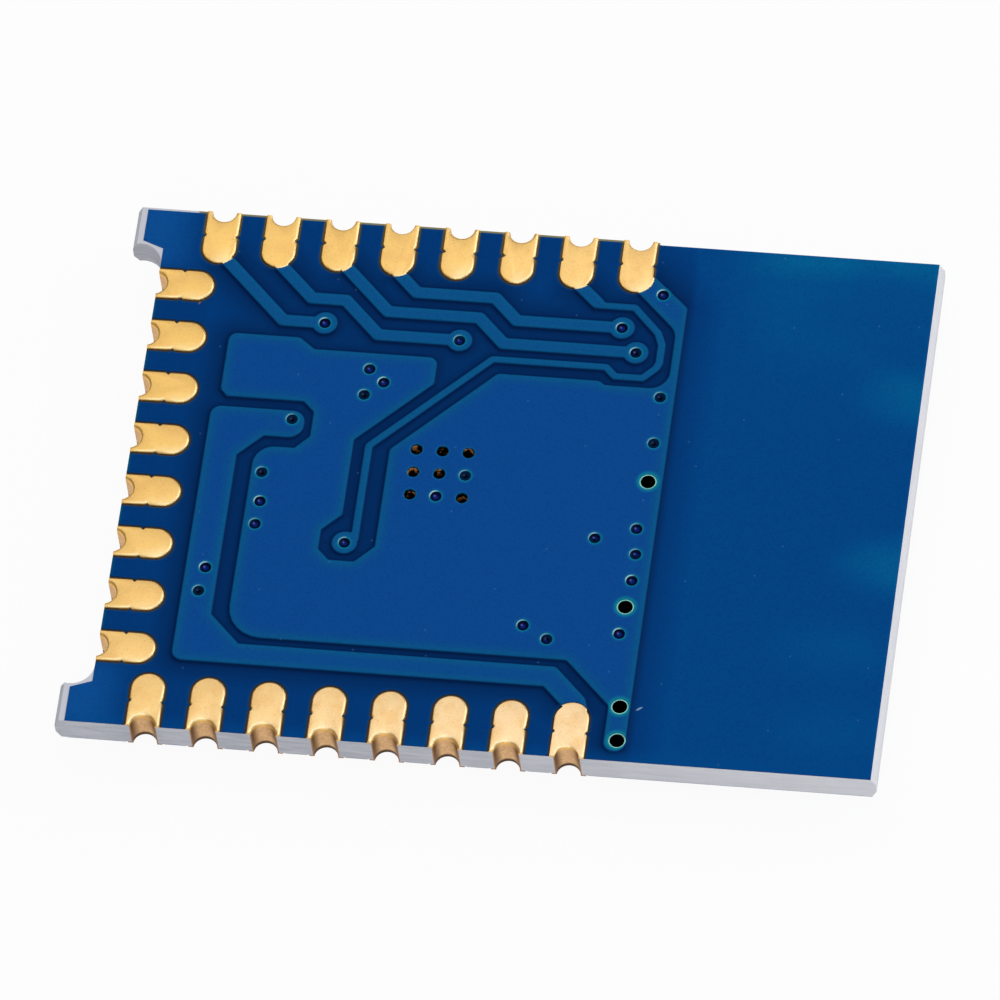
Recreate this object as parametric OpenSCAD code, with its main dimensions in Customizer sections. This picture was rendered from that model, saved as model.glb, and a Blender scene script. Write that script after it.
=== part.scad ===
// Castellated wireless radio module, lying solder side up: a two-layer board with plated
// half-holes on three edges, a printed antenna at its clear end, and the radio chip,
// crystals and chip parts on the underside. Units are millimetres. The origin is under the
// middle of the board, on the surface that the radio chip rests on.

/* [Board] */
// Length from the castellated end to the antenna end, without the ears
body_length = 19.5; // [18.6:0.1:24]
// Width across the two long castellated edges
board_width = 14.88; // [14.2:0.02:18]
// Thickness of the bare laminate
board_t = 0.8; // [0.6:0.1:1.6]
// Reach of the break-off ears past the castellated end
ear_reach = 0.8; // [0.65:0.05:1]
// Diameter of the cutter that milled the slot between the ears
cutter_d = 1.14; // [0.9:0.02:1.3]
// Distance from the outermost end terminals to the slot's round ends
slot_margin = 0.13; // [0.05:0.01:0.25]
// Depth of the V-score on each face of the two short ends
score_depth = 0.25; // [0.1:0.01:0.28]
// Width that the V-score takes off each face
score_w = 0.12; // [0.05:0.01:0.15]
// Step in the +Y edge where the terminals end and the antenna starts
edge_step = 0.07; // [0.02:0.01:0.2]

/* [Terminals] */
// Distance between neighbouring terminals of the long edges
pitch = 1.5; // [1.35:0.01:1.6]
// Width of a terminal pad
pad_w = 0.85; // [0.75:0.01:0.95]
// Length of a pad from the middle of its half-hole
pad_length = 1.52; // [1.3:0.01:1.6]
// Length of the pad on the component side
back_pad_length = 0.95; // [0.8:0.01:1.1]
// Finished diameter of the plated half-holes
hole_d = 0.6; // [0.5:0.01:0.7]
// Thickness of the plating in the holes
plating_t = 0.03; // [0.02:0.005:0.04]
// Distance from the castellated end to the first terminal of each long edge
first_terminal = 1.4; // [1.3:0.01:1.6]
// Distance from the board's corners to the first and last terminals of the castellated end
corner_margin = 2.19; // [2.1:0.01:2.4]
// How far the castellated end is milled past the middle of its half-holes
end_trim = 0.09; // [0:0.01:0.12]
// How far the two long edges are milled past the middle of their half-holes
side_trim = 0.03; // [0:0.01:0.08]
// Distance of the two side nicks from the middle of the half-hole
nick_at = 0.73; // [0.6:0.01:0.8]
// Depth of the side nicks
nick_depth = 0.06; // [0.03:0.01:0.1]

/* [Copper and mask] */
// Thickness of the outer copper
copper_t = 0.045; // [0.02:0.005:0.07]
// Thickness of the solder mask film
mask_t = 0.02; // [0.01:0.005:0.03]
// Width of the shoulder where the mask climbs over a copper edge
mask_shoulder = 0.04; // [0.02:0.005:0.06]
// Gap between a pad and the mask around it
mask_gap = 0.05; // [0.03:0.01:0.07]
// Bare strip between the mask and the +Y castellated edge
mask_setback = 0.06; // [0:0.01:0.12]
// Bare strip between the mask and the ears' scored ends
ear_setback = 0.15; // [0.05:0.01:0.2]
// Half the height of the mask's slanted edge beside the slot
ear_slant = 0.1; // [0.02:0.01:0.12]
// Grid of the copper drawing: corners, vias and parts are placed in multiples of it
grid = 0.1; // [0.096:0.001:0.104]
// Width of a signal track
track_w = 0.3; // [0.2:0.01:0.34]
// Width of the control track
thin_w = 0.16; // [0.1:0.01:0.2]
// Width of a fan-out track on the component side
fan_w = 0.15; // [0.1:0.01:0.18]
// Gap between the ground copper and what it surrounds on the component side
copper_gap = 0.15; // [0.1:0.01:0.18]
// Width of the printed antenna
antenna_w = 0.6; // [0.4:0.05:0.8]

/* [Vias] */
// Finished diameter of a via
via_d = 0.3; // [0.2:0.01:0.34]
// Outer diameter of the copper ring round a via
ring_d = 0.6; // [0.5:0.01:0.64]
// Finished diameter of a via that the mask leaves open
open_via_d = 0.37; // [0.3:0.01:0.4]
// Spacing of the vias under the radio chip
thermal_pitch = 0.65; // [0.55:0.01:0.8]
// Depth that the mask reaches into a via that it closes
plug_depth = 0.12; // [0.08:0.01:0.2]
// Depth of the dimple in the mask over such a via
dimple_depth = 0.06; // [0.02:0.01:0.07]

/* [Radio chip] */
// Side of the square radio chip
chip_size = 5; // [4.6:0.1:5.2]
// Height of the radio chip
chip_h = 0.85; // [0.75:0.05:1]
// Distance from the castellated end to the middle of the radio chip
chip_from_end = 7.75; // [7.6:0.05:8]
// Distance of the radio chip's middle from the board's long axis
chip_offset = 0.3; // [0:0.05:0.4]
// Spacing of the radio chip's leads
lead_pitch = 0.5; // [0.45:0.01:0.52]
// Width of a lead
lead_w = 0.25; // [0.18:0.01:0.28]
// Length of a lead
lead_length = 0.4; // [0.3:0.05:0.5]
// Thickness of the lead frame
lead_t = 0.2; // [0.15:0.01:0.25]
// Side of the thermal pad under the radio chip
thermal_pad = 3.1; // [2.6:0.1:3.3]
// Thickness of the solder under the parts
solder_t = 0.03; // [0.02:0.005:0.05]

/* [Crystals] */
// Length of the main crystal
main_crystal_l = 2.5; // [2.3:0.1:2.6]
// Width of the main crystal
main_crystal_w = 2; // [1.8:0.1:2.1]
// Length of the clock crystal
clock_crystal_l = 3.2; // [2.8:0.1:3.2]
// Width of the clock crystal
clock_crystal_w = 1.5; // [1.2:0.1:1.6]
// Height of the crystals
crystal_h = 0.7; // [0.5:0.05:0.75]
// Thickness of the crystals' metal lids
lid_t = 0.25; // [0.1:0.05:0.3]
// Rim of the ceramic base round each lid
lid_rim = 0.12; // [0.05:0.01:0.2]

/* [Chip parts] */
// Length of a chip part
chip_part_l = 1; // [0.9:0.02:1.1]
// Width of a chip part
chip_part_w = 0.5; // [0.4:0.02:0.55]
// Height of a capacitor
capacitor_h = 0.5; // [0.4:0.02:0.6]
// Height of a resistor
resistor_h = 0.35; // [0.3:0.01:0.45]
// Height of an inductor
inductor_h = 0.55; // [0.4:0.02:0.6]
// Length of the metal cap on each end of a chip part
end_cap = 0.22; // [0.15:0.01:0.3]
// How far a solder land reaches past the end of its part
land_reach = 0.25; // [0.15:0.01:0.3]

/* [Hidden] */
$fn = 64;
per_side = 8;
terminal_count = 3 * per_side;
capacitor_count = 9;
resistor_count = 2;
inductor_count = 2;
leads_per_side = 8;

// Colours
laminate_colour = [0.80, 0.80, 0.82];
mask_colour = [0.02, 0.25, 0.50];
copper_colour = [0.80, 0.50, 0.28];
gold_colour = [0.95, 0.78, 0.46];
solder_colour = [0.75, 0.76, 0.78];
chip_colour = [0.10, 0.10, 0.11];
ceramic_colour = [0.72, 0.62, 0.48];
lid_colour = [0.78, 0.77, 0.73];

// Board edges
top = board_width / 2;
// The half-holes of the long edges have their middles on the lines y = row_line and -row_line
row_line = top + side_trim;
ear_x = -(body_length + ear_reach) / 2;
end_x = ear_x + ear_reach;
antenna_x = end_x + body_length;

// Levels, from the resting surface up
land_z = chip_h + solder_t;
back_z = land_z + copper_t;
front_z = back_z + board_t;

// Terminal places: columns along the two long edges, rows down the castellated end
function column_x(k) = end_x + first_terminal + k * pitch;
row_pitch = (board_width - 2 * corner_margin) / (per_side - 1);
function row_y(k) = top - corner_margin - k * row_pitch;
slot_y = row_y(0) + pad_w / 2 + slot_margin;
last_column = column_x(per_side - 1);
step_x = last_column + pad_w / 2 + mask_gap;
slot_top = slot_y + cutter_d / 2;
// The middle of a long-edge pad's round end, where tracks start
pad_end = row_line - pad_length + pad_w / 2;

// Lanes of the tracks that leave the +Y pads, stepping in from the pads' ends
lane_a = pad_end - 9 * grid;
lane_b = lane_a - 3.7 * grid;
lane_c = lane_b - 2.4 * grid;
lane_d = lane_c - 4.6 * grid;
lane_e = lane_d - 2.3 * grid;
lane_f = lane_e - 4.75 * grid;

// Edges of the ground copper on the solder side
field_right = last_column + 13.75 * grid;
field_left = end_x + 31 * grid;
field_top = lane_f - 4.2 * grid;
field_bottom = -row_line + 27.45 * grid;
lobe_left = end_x + 20.2 * grid;
lobe_top = lane_d - track_w / 2 - 3.3 * grid;
lobe_step = lobe_top - 3.1 * grid;
lobe_right = column_x(4) - 1.3 * grid;
lobe_bottom = 21.1 * grid;
tail_left = field_right - 5.08 * grid;
loop_x = field_right - 1.75 * grid;
loop_bottom = field_top - 1.1 * grid;

// The moat round the control track where it goes down the middle
riser_x = end_x + 59.07 * grid;
moat_left = riser_x - 4.07 * grid;
moat_right = riser_x + 5.43 * grid;
moat_end = -23.95 * grid;

// Edges of the supply copper
power_left = lobe_left - 1.6 * grid;
power_right = field_left - 4.5 * grid;
power_top = lobe_bottom - 3.15 * grid;
power_low = power_top - 7.5 * grid;
rail_top = field_bottom - 2.3 * grid;
rail_bottom = rail_top - 5.5 * grid;

// Radio chip
chip_x = end_x + chip_from_end;
chip_y = chip_offset;
chip_edge = chip_size / 2;
function lead_at(k) = (k - (leads_per_side - 1) / 2) * lead_pitch;

// Crystals and chip parts: middle and turn of each
main_crystal_at = [end_x + 27.25 * grid, row_line - 30.7 * grid];
clock_crystal_at = [end_x + 27.75 * grid, -row_line + 31.7 * grid];
feed_y = chip_y + lead_at(5);
beside_x = chip_x + chip_edge + 10 * grid;
capacitors = [
    [main_crystal_at.x, main_crystal_at.y - main_crystal_w / 2 - 6.5 * grid, 0],
    [column_x(2) + 4.3 * grid, pad_end - 9.5 * grid, 90],
    [column_x(3) + 1.8 * grid, pad_end - 10.5 * grid, 90],
    [beside_x, chip_y + lead_at(7), 0],
    [beside_x, chip_y - 24 * grid, 0],
    [beside_x, chip_y - 34 * grid, 0],
    [chip_x - chip_edge - 3 * grid, chip_y - 29.5 * grid, 0],
    [clock_crystal_at.x + 6 * grid, clock_crystal_at.y + clock_crystal_w / 2 + 6 * grid, 0],
    [beside_x + 4 * grid, chip_y + 28 * grid, 0]
];
resistors = [
    [last_column - grid, -pad_end + 10.5 * grid, 0],
    [column_x(6) - 4.5 * grid, pad_end - 6 * grid, 0]
];
inductors = [
    [beside_x, feed_y, 0],
    [beside_x, chip_y + lead_at(3), 0]
];

// Vias that end the tracks, by track
track_via = [
    [column_x(2) - 0.6 * grid, lane_d],
    [column_x(4) + 3.55 * grid, lane_e],
    [column_x(7) + 2.7 * grid, lane_e],
    [column_x(7) - 1.6 * grid, lane_c]
];
control_via = [riser_x - 2.37 * grid, -18.6 * grid];
// Vias that the mask closes, in the ground copper and then in the supply copper
ground_vias = [
    [lobe_right - 16.4 * grid, lobe_step - 4.45 * grid],
    [lobe_right - 12.4 * grid, lobe_step - 8.05 * grid],
    [lobe_right - 16.8 * grid, lobe_step - 12 * grid],
    [field_right - 6.35 * grid, pad_end - 4.75 * grid],
    [field_right - 3.45 * grid, loop_bottom - 2.3 * grid],
    [field_right - 3.45 * grid, 16.1 * grid],
    [field_right - 4.6 * grid, -8.7 * grid],
    [field_right - 14.55 * grid, -12.2 * grid],
    [field_right - 3.95 * grid, -16 * grid],
    [field_right - 3.95 * grid, -23.5 * grid],
    [field_right - 5.15 * grid, field_bottom + 8.45 * grid],
    [field_right - 29.05 * grid, field_bottom + 8.85 * grid],
    [field_right - 22.75 * grid, field_bottom + 5.45 * grid],
    [field_left + 2.55 * grid, -0.15 * grid],
    [field_left + 3.25 * grid, -8.5 * grid],
    [field_left + 2.9 * grid, -15.05 * grid]
];
power_vias = [
    [power_right + 12.5 * grid, power_top - 2.3 * grid],
    [power_right - 3.1 * grid, -28.45 * grid],
    [power_right - 3.9 * grid, -35.2 * grid]
];
closed_vias = concat(track_via, [control_via], ground_vias, power_vias);
// Vias left open by the mask, which ends at their rims
open_rim_d = open_via_d + 2 * plating_t;
open_via_at = [
    [field_right - 3.45 * grid, 5 * grid],
    [field_right - 4.6 * grid, field_bottom + 16.2 * grid],
    [field_right - 2.45 * grid, -row_line + 15.4 * grid],
    [field_right - 1.95 * grid, -row_line + 5.85 * grid]
];
// The square group under the radio chip, of which the mask closes two
thermal_at = [for (j = [1:-1:-1], i = [-1:1]) [chip_x + i * thermal_pitch, chip_y + j * thermal_pitch]];
thermal_closed = [thermal_at[5], thermal_at[7]];
thermal_open = [for (k = [0, 1, 2, 3, 4, 6, 8]) thermal_at[k]];

// Outline helpers

function unit(v) = v / norm(v);
function right_of(d) = [d.y, -d.x];
function flat(p) = [p.x, p.y];
function item(list, i) = list[(i + len(list)) % len(list)];
// The direction in which a corner moves when both of its edges move out by one
function corner_out(a, b, c) =
    let (m = right_of(unit(b - a)), n = right_of(unit(c - b)))
    (m + n) / (1 + m * n);
// A counter-clockwise outline moved out by g
function grown(p, g) = [
    for (i = [0:len(p) - 1]) p[i] + g * corner_out(item(p, i - 1), p[i], item(p, i + 1))
];
// The points of the arc that rounds corner b, which carries its radius as a third number
function corner_arc(a, b, c) =
    let (
        r = len(b) > 2 ? b[2] : 0,
        u = unit(flat(a) - flat(b)),
        v = unit(flat(c) - flat(b)),
        half = acos(u * v) / 2,
        middle = flat(b) + unit(u + v) * r / sin(half),
        from = flat(b) + u * r / tan(half) - middle,
        to = flat(b) + v * r / tan(half) - middle,
        start = atan2(from.y, from.x),
        turn = atan2(from.x * to.y - from.y * to.x, from * to),
        steps = 6
    )
    r == 0 ? [flat(b)] : [
        for (k = [0:steps])
            middle + r * [cos(start + turn * k / steps), sin(start + turn * k / steps)]
    ];
function rounded(p) = [
    for (i = [0:len(p) - 1]) each corner_arc(item(p, i - 1), p[i], item(p, i + 1))
];
// The counter-clockwise outline of a track of width w with mitred corners
function track_side(p, w) = [
    for (i = [0:len(p) - 1])
        let (
            a = i == 0 ? 2 * p[0] - p[1] : p[i - 1],
            c = i == len(p) - 1 ? 2 * p[i] - p[i - 1] : p[i + 1]
        )
        p[i] + w / 2 * corner_out(a, p[i], c)
];
function reversed(p) = [for (i = [len(p) - 1:-1:0]) p[i]];
function track(p, w) = concat(track_side(p, w), track_side(reversed(p), w));
// A point on the lane y that a 45 degree line down to the right from p reaches
function down_right(p, y) = [p.x + p.y - y, y];

// Copper outlines on the solder side

function signal_path(i) =
    i == 0 ? let (p = [column_x(0), pad_end - 0.8 * grid])
        [p, down_right(p, lane_d), track_via[0]] :
    i == 1 ? let (p = [column_x(1), pad_end - 2.5 * grid], q = [column_x(2) + 3.8 * grid, lane_b])
        [p, down_right(p, lane_b), q, down_right(q, lane_e), track_via[1]] :
    i == 2 ? let (p = [column_x(2), pad_end - 0.4 * grid], q = [column_x(4) + 7.6 * grid, lane_c])
        [p, down_right(p, lane_c), q, down_right(q, lane_e), track_via[2]] :
    let (p = [column_x(3), pad_end - 2.9 * grid], q = [column_x(4) + 10.9 * grid, lane_a])
        [p, down_right(p, lane_a), q, down_right(q, lane_c), track_via[3]];

control_start = [column_x(6), pad_end - 2.35 * grid];
control_neck = [control_start, down_right(control_start, lane_a) + [0.5 * grid, 0]];
control_path = [
    down_right(control_start, lane_a) + [-0.5 * grid, 0],
    [last_column + 0.9 * grid, lane_a],
    [field_right - 6.2 * grid, lane_c - 0.85 * grid],
    [field_right - 4.9 * grid, lane_d + 0.5 * grid],
    [field_right - 4.9 * grid, lane_f + 2.3 * grid],
    [field_right - 5.45 * grid, lane_f + 0.75 * grid],
    [field_right - 8.55 * grid, lane_f - 2.45 * grid],
    [field_right - 15.45 * grid, lane_f - 2.45 * grid],
    [field_right - 17.9 * grid, lane_f],
    [riser_x + lane_f - 9.57 * grid, lane_f],
    [riser_x, 9.57 * grid],
    [riser_x, control_via.y + 1.4 * grid],
    control_via
];

ground_outline = rounded([
    [lobe_left, lobe_top, 2 * grid],
    [lobe_left, lobe_bottom + 2 * grid],
    [lobe_left + 1.7 * grid, lobe_bottom],
    [moat_left - 13.7 * grid, lobe_bottom, grid],
    [moat_left - 10.75 * grid, lobe_bottom - 2.9 * grid],
    [moat_left - 10.75 * grid, power_low + 0.55 * grid],
    [moat_left - 14.3 * grid, power_low - 3.15 * grid, grid],
    [field_left, power_low - 3.15 * grid, 5 * grid],
    [field_left, field_bottom, 8.5 * grid],
    [tail_left - 12 * grid, field_bottom, 1.5 * grid],
    [tail_left, field_bottom - 12 * grid, 1.5 * grid],
    [tail_left, -row_line + 2.85 * grid, 2.4 * grid],
    [field_right, -row_line + 2.85 * grid, 2.4 * grid],
    [field_right, pad_end - 8.1 * grid, 0.8 * grid],
    [last_column + 2.4 * grid, pad_end + 2.25 * grid],
    [last_column - 0.2 * grid, pad_end + 2.25 * grid],
    [last_column - 0.2 * grid, pad_end - 3.1 * grid],
    [loop_x, lane_c + 0.05 * grid, 5 * grid],
    [loop_x, loop_bottom, 5 * grid],
    [last_column - 3.95 * grid, loop_bottom],
    [last_column - 5.4 * grid, field_top],
    [moat_right + field_top - 8.95 * grid, field_top],
    [moat_right, 8.95 * grid],
    [moat_right, moat_end + 4.8 * grid],
    [moat_right - 4.7 * grid, moat_end],
    [moat_left - 1.7 * grid, moat_end],
    [moat_left - 4.7 * grid, moat_end + 3 * grid],
    [moat_left - 4.7 * grid, moat_end + 8.6 * grid],
    [moat_left, moat_end + 13.3 * grid],
    [moat_left, 11 * grid],
    [lobe_right, 11 * grid + lobe_right - moat_left],
    [lobe_right, lobe_step, 2 * grid],
    [lobe_left + 21.55 * grid, lobe_step],
    [lobe_left + 17.55 * grid, lobe_top]
]);

power_outline = rounded([
    [power_left, power_top, 2.5 * grid],
    [power_left, rail_bottom, 2.5 * grid],
    [last_column - 8 * grid, rail_bottom],
    [last_column, rail_bottom - 8 * grid],
    [last_column + 3.5 * grid, rail_bottom - 6 * grid],
    [last_column + 2.4 * grid, rail_top - 8.2 * grid],
    [last_column - 5.8 * grid, rail_top],
    [power_right + 7.9 * grid, rail_top],
    [power_right, rail_top + 7.9 * grid],
    [power_right, power_low - 6.1 * grid],
    [power_right + 6.1 * grid, power_low],
    [power_right + 15.55 * grid, power_low, 3.6 * grid],
    [power_right + 15.55 * grid, power_top, 3 * grid]
]);

module signal_shape(i, grow = 0) {
    polygon(track(signal_path(i), track_w + 2 * grow));
    translate(track_via[i]) circle(d = ring_d + 2 * grow);
}

module control_shape(grow = 0) {
    polygon(track(control_neck, track_w + 2 * grow));
    polygon(track(control_path, thin_w + 2 * grow));
    translate(control_via) circle(d = ring_d + 2 * grow);
}

module ground_shape(grow = 0) {
    polygon(grown(ground_outline, grow));
}

module power_shape(grow = 0) {
    polygon(grown(power_outline, grow));
}

module front_copper(grow = 0) {
    for (i = [0:3]) signal_shape(i, grow);
    control_shape(grow);
    ground_shape(grow);
    power_shape(grow);
}

// Terminals: 0 to 7 along the +Y edge, 8 to 15 down the castellated end, 16 to 23 along -Y

function terminal_trim(i) = floor(i / per_side) == 1 ? end_trim : side_trim;

module at_terminal(i) {
    side = floor(i / per_side);
    k = i % per_side;
    if (side == 0) translate([column_x(k), row_line]) rotate(-90) children();
    if (side == 1) translate([end_x - end_trim, row_y(k)]) children();
    if (side == 2) translate([column_x(k), -row_line]) rotate(90) children();
}

// A pad that runs inwards along +X from the middle of its half-hole and ends in a half round
module pad_shape(length, trim, grow = 0) {
    w = pad_w + 2 * grow;
    round_x = length + grow - w / 2;
    translate([trim, -w / 2]) square([round_x - trim, w]);
    translate([round_x, 0]) circle(d = w);
}

module nicks(grow = 0) {
    for (s = [-1, 1])
        translate([nick_at, s * (pad_w / 2 + grow)])
            rotate(45) square(nick_depth * sqrt(2), center = true);
}

// The mask opening runs past the board's edge
module opening_shape(length) {
    difference() {
        pad_shape(length, -pad_w, mask_gap);
        nicks(mask_gap);
    }
}

module front_openings() {
    for (i = [0:terminal_count - 1]) at_terminal(i) opening_shape(pad_length);
    for (p = open_via_at) translate(p) circle(d = open_rim_d);
    for (p = thermal_open) translate(p) circle(d = via_d);
}

module back_openings() {
    for (i = [0:terminal_count - 1])
        at_terminal(i) pad_shape(back_pad_length, -pad_w, mask_gap);
    for (p = open_via_at) translate(p) circle(d = open_rim_d);
    part_lands();
    chip_lands();
}

// The terminals whose pads run on into other copper on the solder side
joined_terminals = [0, 1, 2, 3, 6, 7, terminal_count - 1];
function is_joined(i) = len([for (k = joined_terminals) if (k == i) k]) > 0;

// The copper that shows gold inside a terminal's mask opening because it leaves the pad there
module leaving_copper(i) {
    if (i < 4) signal_shape(i);
    if (i == 6) control_shape();
    if (i == 7) ground_shape();
    if (i == terminal_count - 1) power_shape();
}

module terminal(i) {
    trim = terminal_trim(i);
    color(gold_colour) {
        translate([0, 0, front_z]) linear_extrude(copper_t) difference() {
            union() {
                at_terminal(i) pad_shape(pad_length, trim);
                if (is_joined(i)) intersection() {
                    at_terminal(i) pad_shape(pad_length, nick_at, mask_gap);
                    leaving_copper(i);
                }
            }
            at_terminal(i) circle(d = hole_d);
            at_terminal(i) nicks();
        }
        translate([0, 0, back_z]) linear_extrude(board_t) at_terminal(i) difference() {
            circle(d = hole_d + 2 * plating_t);
            circle(d = hole_d);
            translate([trim - hole_d, -hole_d]) square([hole_d, 2 * hole_d]);
        }
        translate([0, 0, land_z]) linear_extrude(copper_t) at_terminal(i) difference() {
            pad_shape(back_pad_length, trim);
            circle(d = hole_d);
        }
    }
}

// Board and mask

module slot_shape() {
    translate([ear_x - cutter_d, -slot_y]) square([cutter_d + ear_reach, 2 * slot_y]);
    for (s = [-1, 1])
        translate([end_x - cutter_d / 2, s * slot_y]) circle(d = cutter_d);
}

module board_shape() {
    difference() {
        translate([ear_x, -top]) square([body_length + ear_reach, board_width]);
        slot_shape();
        translate([step_x, top - edge_step]) square([body_length, edge_step]);
    }
}

// The board's long section, with both faces cut back at the scored ends
module score_profile() {
    polygon([
        [ear_x + score_w, back_z],
        [antenna_x - score_w, back_z],
        [antenna_x, back_z + score_depth],
        [antenna_x, front_z - score_depth],
        [antenna_x - score_w, front_z],
        [ear_x + score_w, front_z],
        [ear_x, front_z - score_depth],
        [ear_x, back_z + score_depth]
    ]);
}

module substrate() {
    color(laminate_colour) difference() {
        intersection() {
            translate([0, 0, back_z]) linear_extrude(board_t) board_shape();
            rotate([90, 0, 0]) translate([0, 0, -top]) linear_extrude(board_width) score_profile();
        }
        translate([0, 0, back_z]) linear_extrude(board_t) {
            for (i = [0:terminal_count - 1]) at_terminal(i) circle(d = hole_d + 2 * plating_t);
            for (p = concat(closed_vias, thermal_at))
                translate(p) circle(d = via_d + 2 * plating_t);
            for (p = open_via_at) translate(p) circle(d = open_rim_d);
        }
    }
}

// The mask keeps off the ears' outer edges and is cut back at a slant towards the slot
module mask_shape() {
    left = ear_x + score_w + ear_setback;
    low = slot_top - ear_slant;
    high = slot_top + ear_slant;
    difference() {
        intersection() {
            board_shape();
            translate([left, -top])
                square([antenna_x - score_w - left, board_width - mask_setback]);
        }
        polygon([[left, -high], [end_x, -low], [end_x, low], [left, high]]);
    }
}

// The part of the film that fills the mouth of each via the mask closes
module plugs(level) {
    for (p = concat(closed_vias, thermal_closed))
        translate([p.x, p.y, level - plug_depth]) cylinder(h = plug_depth + mask_t, d = via_d);
}

// The hollow on top of each plug, as wide as its via
module dimples(level) {
    r = via_d / 2;
    ball_r = (r * r + dimple_depth * dimple_depth) / (2 * dimple_depth);
    for (p = concat(closed_vias, thermal_closed))
        translate([p.x, p.y, level + mask_t + ball_r - dimple_depth]) sphere(r = ball_r);
}

// A film on the laminate that climbs over the copper: children are the copper's shape grown
// by the shoulder, the copper's own shape, and the openings
module film() {
    difference() {
        union() {
            linear_extrude(mask_t) mask_shape();
            linear_extrude(copper_t + mask_t) intersection() {
                mask_shape();
                children(0);
            }
        }
        linear_extrude(copper_t) children(1);
        linear_extrude(copper_t + mask_t) children(2);
    }
}

module pad_side_mask() {
    color(mask_colour) difference() {
        union() {
            translate([0, 0, front_z]) film() {
                front_copper(mask_shoulder);
                front_copper();
                front_openings();
            }
            plugs(front_z + copper_t);
        }
        dimples(front_z + copper_t);
    }
}

// Copper nodes on the solder side, with the vias' barrels left out

module copper_layer(level) {
    translate([0, 0, level]) linear_extrude(copper_t) difference() {
        children();
        for (p = concat(closed_vias, thermal_at)) translate(p) circle(d = via_d + 2 * plating_t);
        for (p = open_via_at) translate(p) circle(d = open_rim_d);
    }
}

module signal_track(i) {
    color(copper_colour) copper_layer(front_z) difference() {
        signal_shape(i);
        at_terminal(i) pad_shape(pad_length, nick_at, mask_gap);
    }
}

module control_track() {
    color(copper_colour) copper_layer(front_z) difference() {
        control_shape();
        at_terminal(6) pad_shape(pad_length, nick_at, mask_gap);
    }
}

module ground_pour() {
    color(copper_colour) copper_layer(front_z) difference() {
        ground_shape();
        at_terminal(per_side - 1) pad_shape(pad_length, nick_at, mask_gap);
    }
}

module power_pour() {
    color(copper_colour) copper_layer(front_z) difference() {
        power_shape();
        at_terminal(terminal_count - 1) pad_shape(pad_length, nick_at, mask_gap);
    }
}

// Vias

module barrels(places, d) {
    for (p = places)
        translate([p.x, p.y, land_z]) linear_extrude(board_t + 2 * copper_t) difference() {
            circle(d = d + 2 * plating_t);
            circle(d = d);
        }
}

module tented_vias() {
    color(copper_colour) barrels(closed_vias, via_d);
}

module open_vias() {
    color(gold_colour) barrels(open_via_at, open_via_d);
}

module thermal_vias() {
    color(copper_colour) barrels(thermal_at, via_d);
}

// Component side copper

module at_part(p) {
    translate([p.x, p.y]) rotate(p[2]) children();
}

module part_land() {
    inner = chip_part_l / 2 - end_cap;
    for (s = [0, 180])
        rotate(s) translate([inner, -chip_part_w / 2])
            square([end_cap + land_reach, chip_part_w]);
}

// Four solder lands in the corners of a crystal's base
module crystal_lands(l, w) {
    for (x = [-1, 1], y = [-1, 1])
        translate([x * (l / 2 - land_reach), y * (w / 2 - land_reach)])
            square(2 * land_reach, center = true);
}

module part_lands() {
    for (p = concat(capacitors, resistors, inductors)) at_part(p) part_land();
    translate(main_crystal_at) crystal_lands(main_crystal_l, main_crystal_w);
    translate(clock_crystal_at) crystal_lands(clock_crystal_l, clock_crystal_w);
}

module lead_shape(reach) {
    for (side = [0:3], k = [0:leads_per_side - 1])
        rotate(side * 90) translate([chip_edge - lead_length, lead_at(k) - lead_w / 2])
            square([lead_length + reach, lead_w]);
}

module chip_lands() {
    translate([chip_x, chip_y]) {
        lead_shape(land_reach);
        square(thermal_pad, center = true);
    }
}

// Fan-out tracks: end terminals to the chip's -X leads, -Y terminals to its -Y leads, and the
// tracks' vias and two +Y terminals to its +Y leads
fan_x = chip_x - chip_edge - land_reach - 2 * grid;
fan_y = chip_y - chip_edge - land_reach - 2 * grid;
lead_reach = chip_edge + land_reach / 2;
back_end = row_line - back_pad_length + pad_w / 2;
fan_start = end_x + back_pad_length - pad_w / 2;
// A path that leaves a terminal at p at 45 degrees and runs along y to the chip's -X leads
function end_run(p, y) = [p, [p.x + abs(p.y - y), y], [chip_x - lead_reach, y]];
end_lane = ground_vias[len(ground_vias) - 1].y - 4.45 * grid;
last_lead_y = chip_y + lead_at(0);
end_fan = [
    end_run([fan_start, row_y(2)], chip_y + lead_at(7)),
    end_run([fan_start, row_y(3)], chip_y + lead_at(4)),
    end_run([fan_start, row_y(4)], chip_y + lead_at(2)),
    [
        [fan_start, row_y(5)],
        [fan_start + end_lane - row_y(5), end_lane],
        [fan_x - last_lead_y + end_lane, end_lane],
        [fan_x, last_lead_y],
        [chip_x - lead_reach, last_lead_y]
    ]
];
long_fan = [for (k = [2:5]) let (x = chip_x + lead_at(k)) [
    [column_x(k), -back_end],
    [column_x(k), fan_y - abs(column_x(k) - x)],
    [x, fan_y],
    [x, chip_y - lead_reach]
]];
function jog(from, k) = let (x = chip_x + lead_at(k), gap = abs(from.x - x)) [
    from,
    [x, from.y - gap],
    [x, chip_y + lead_reach]
];
function lead_drop(from, k, run) =
    concat([from], jog([chip_x + lead_at(k) + run, from.y], k));
top_fan = [
    lead_drop(track_via[0], 1, -9 * grid),
    concat([[column_x(4), back_end]], jog([column_x(4), lane_b], 2)),
    jog(track_via[1], 4),
    concat([[column_x(5), back_end]], jog([column_x(5), lane_b], 5)),
    lead_drop(track_via[3], 6, 9 * grid),
    lead_drop(track_via[2], 7, 9 * grid)
];
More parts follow.
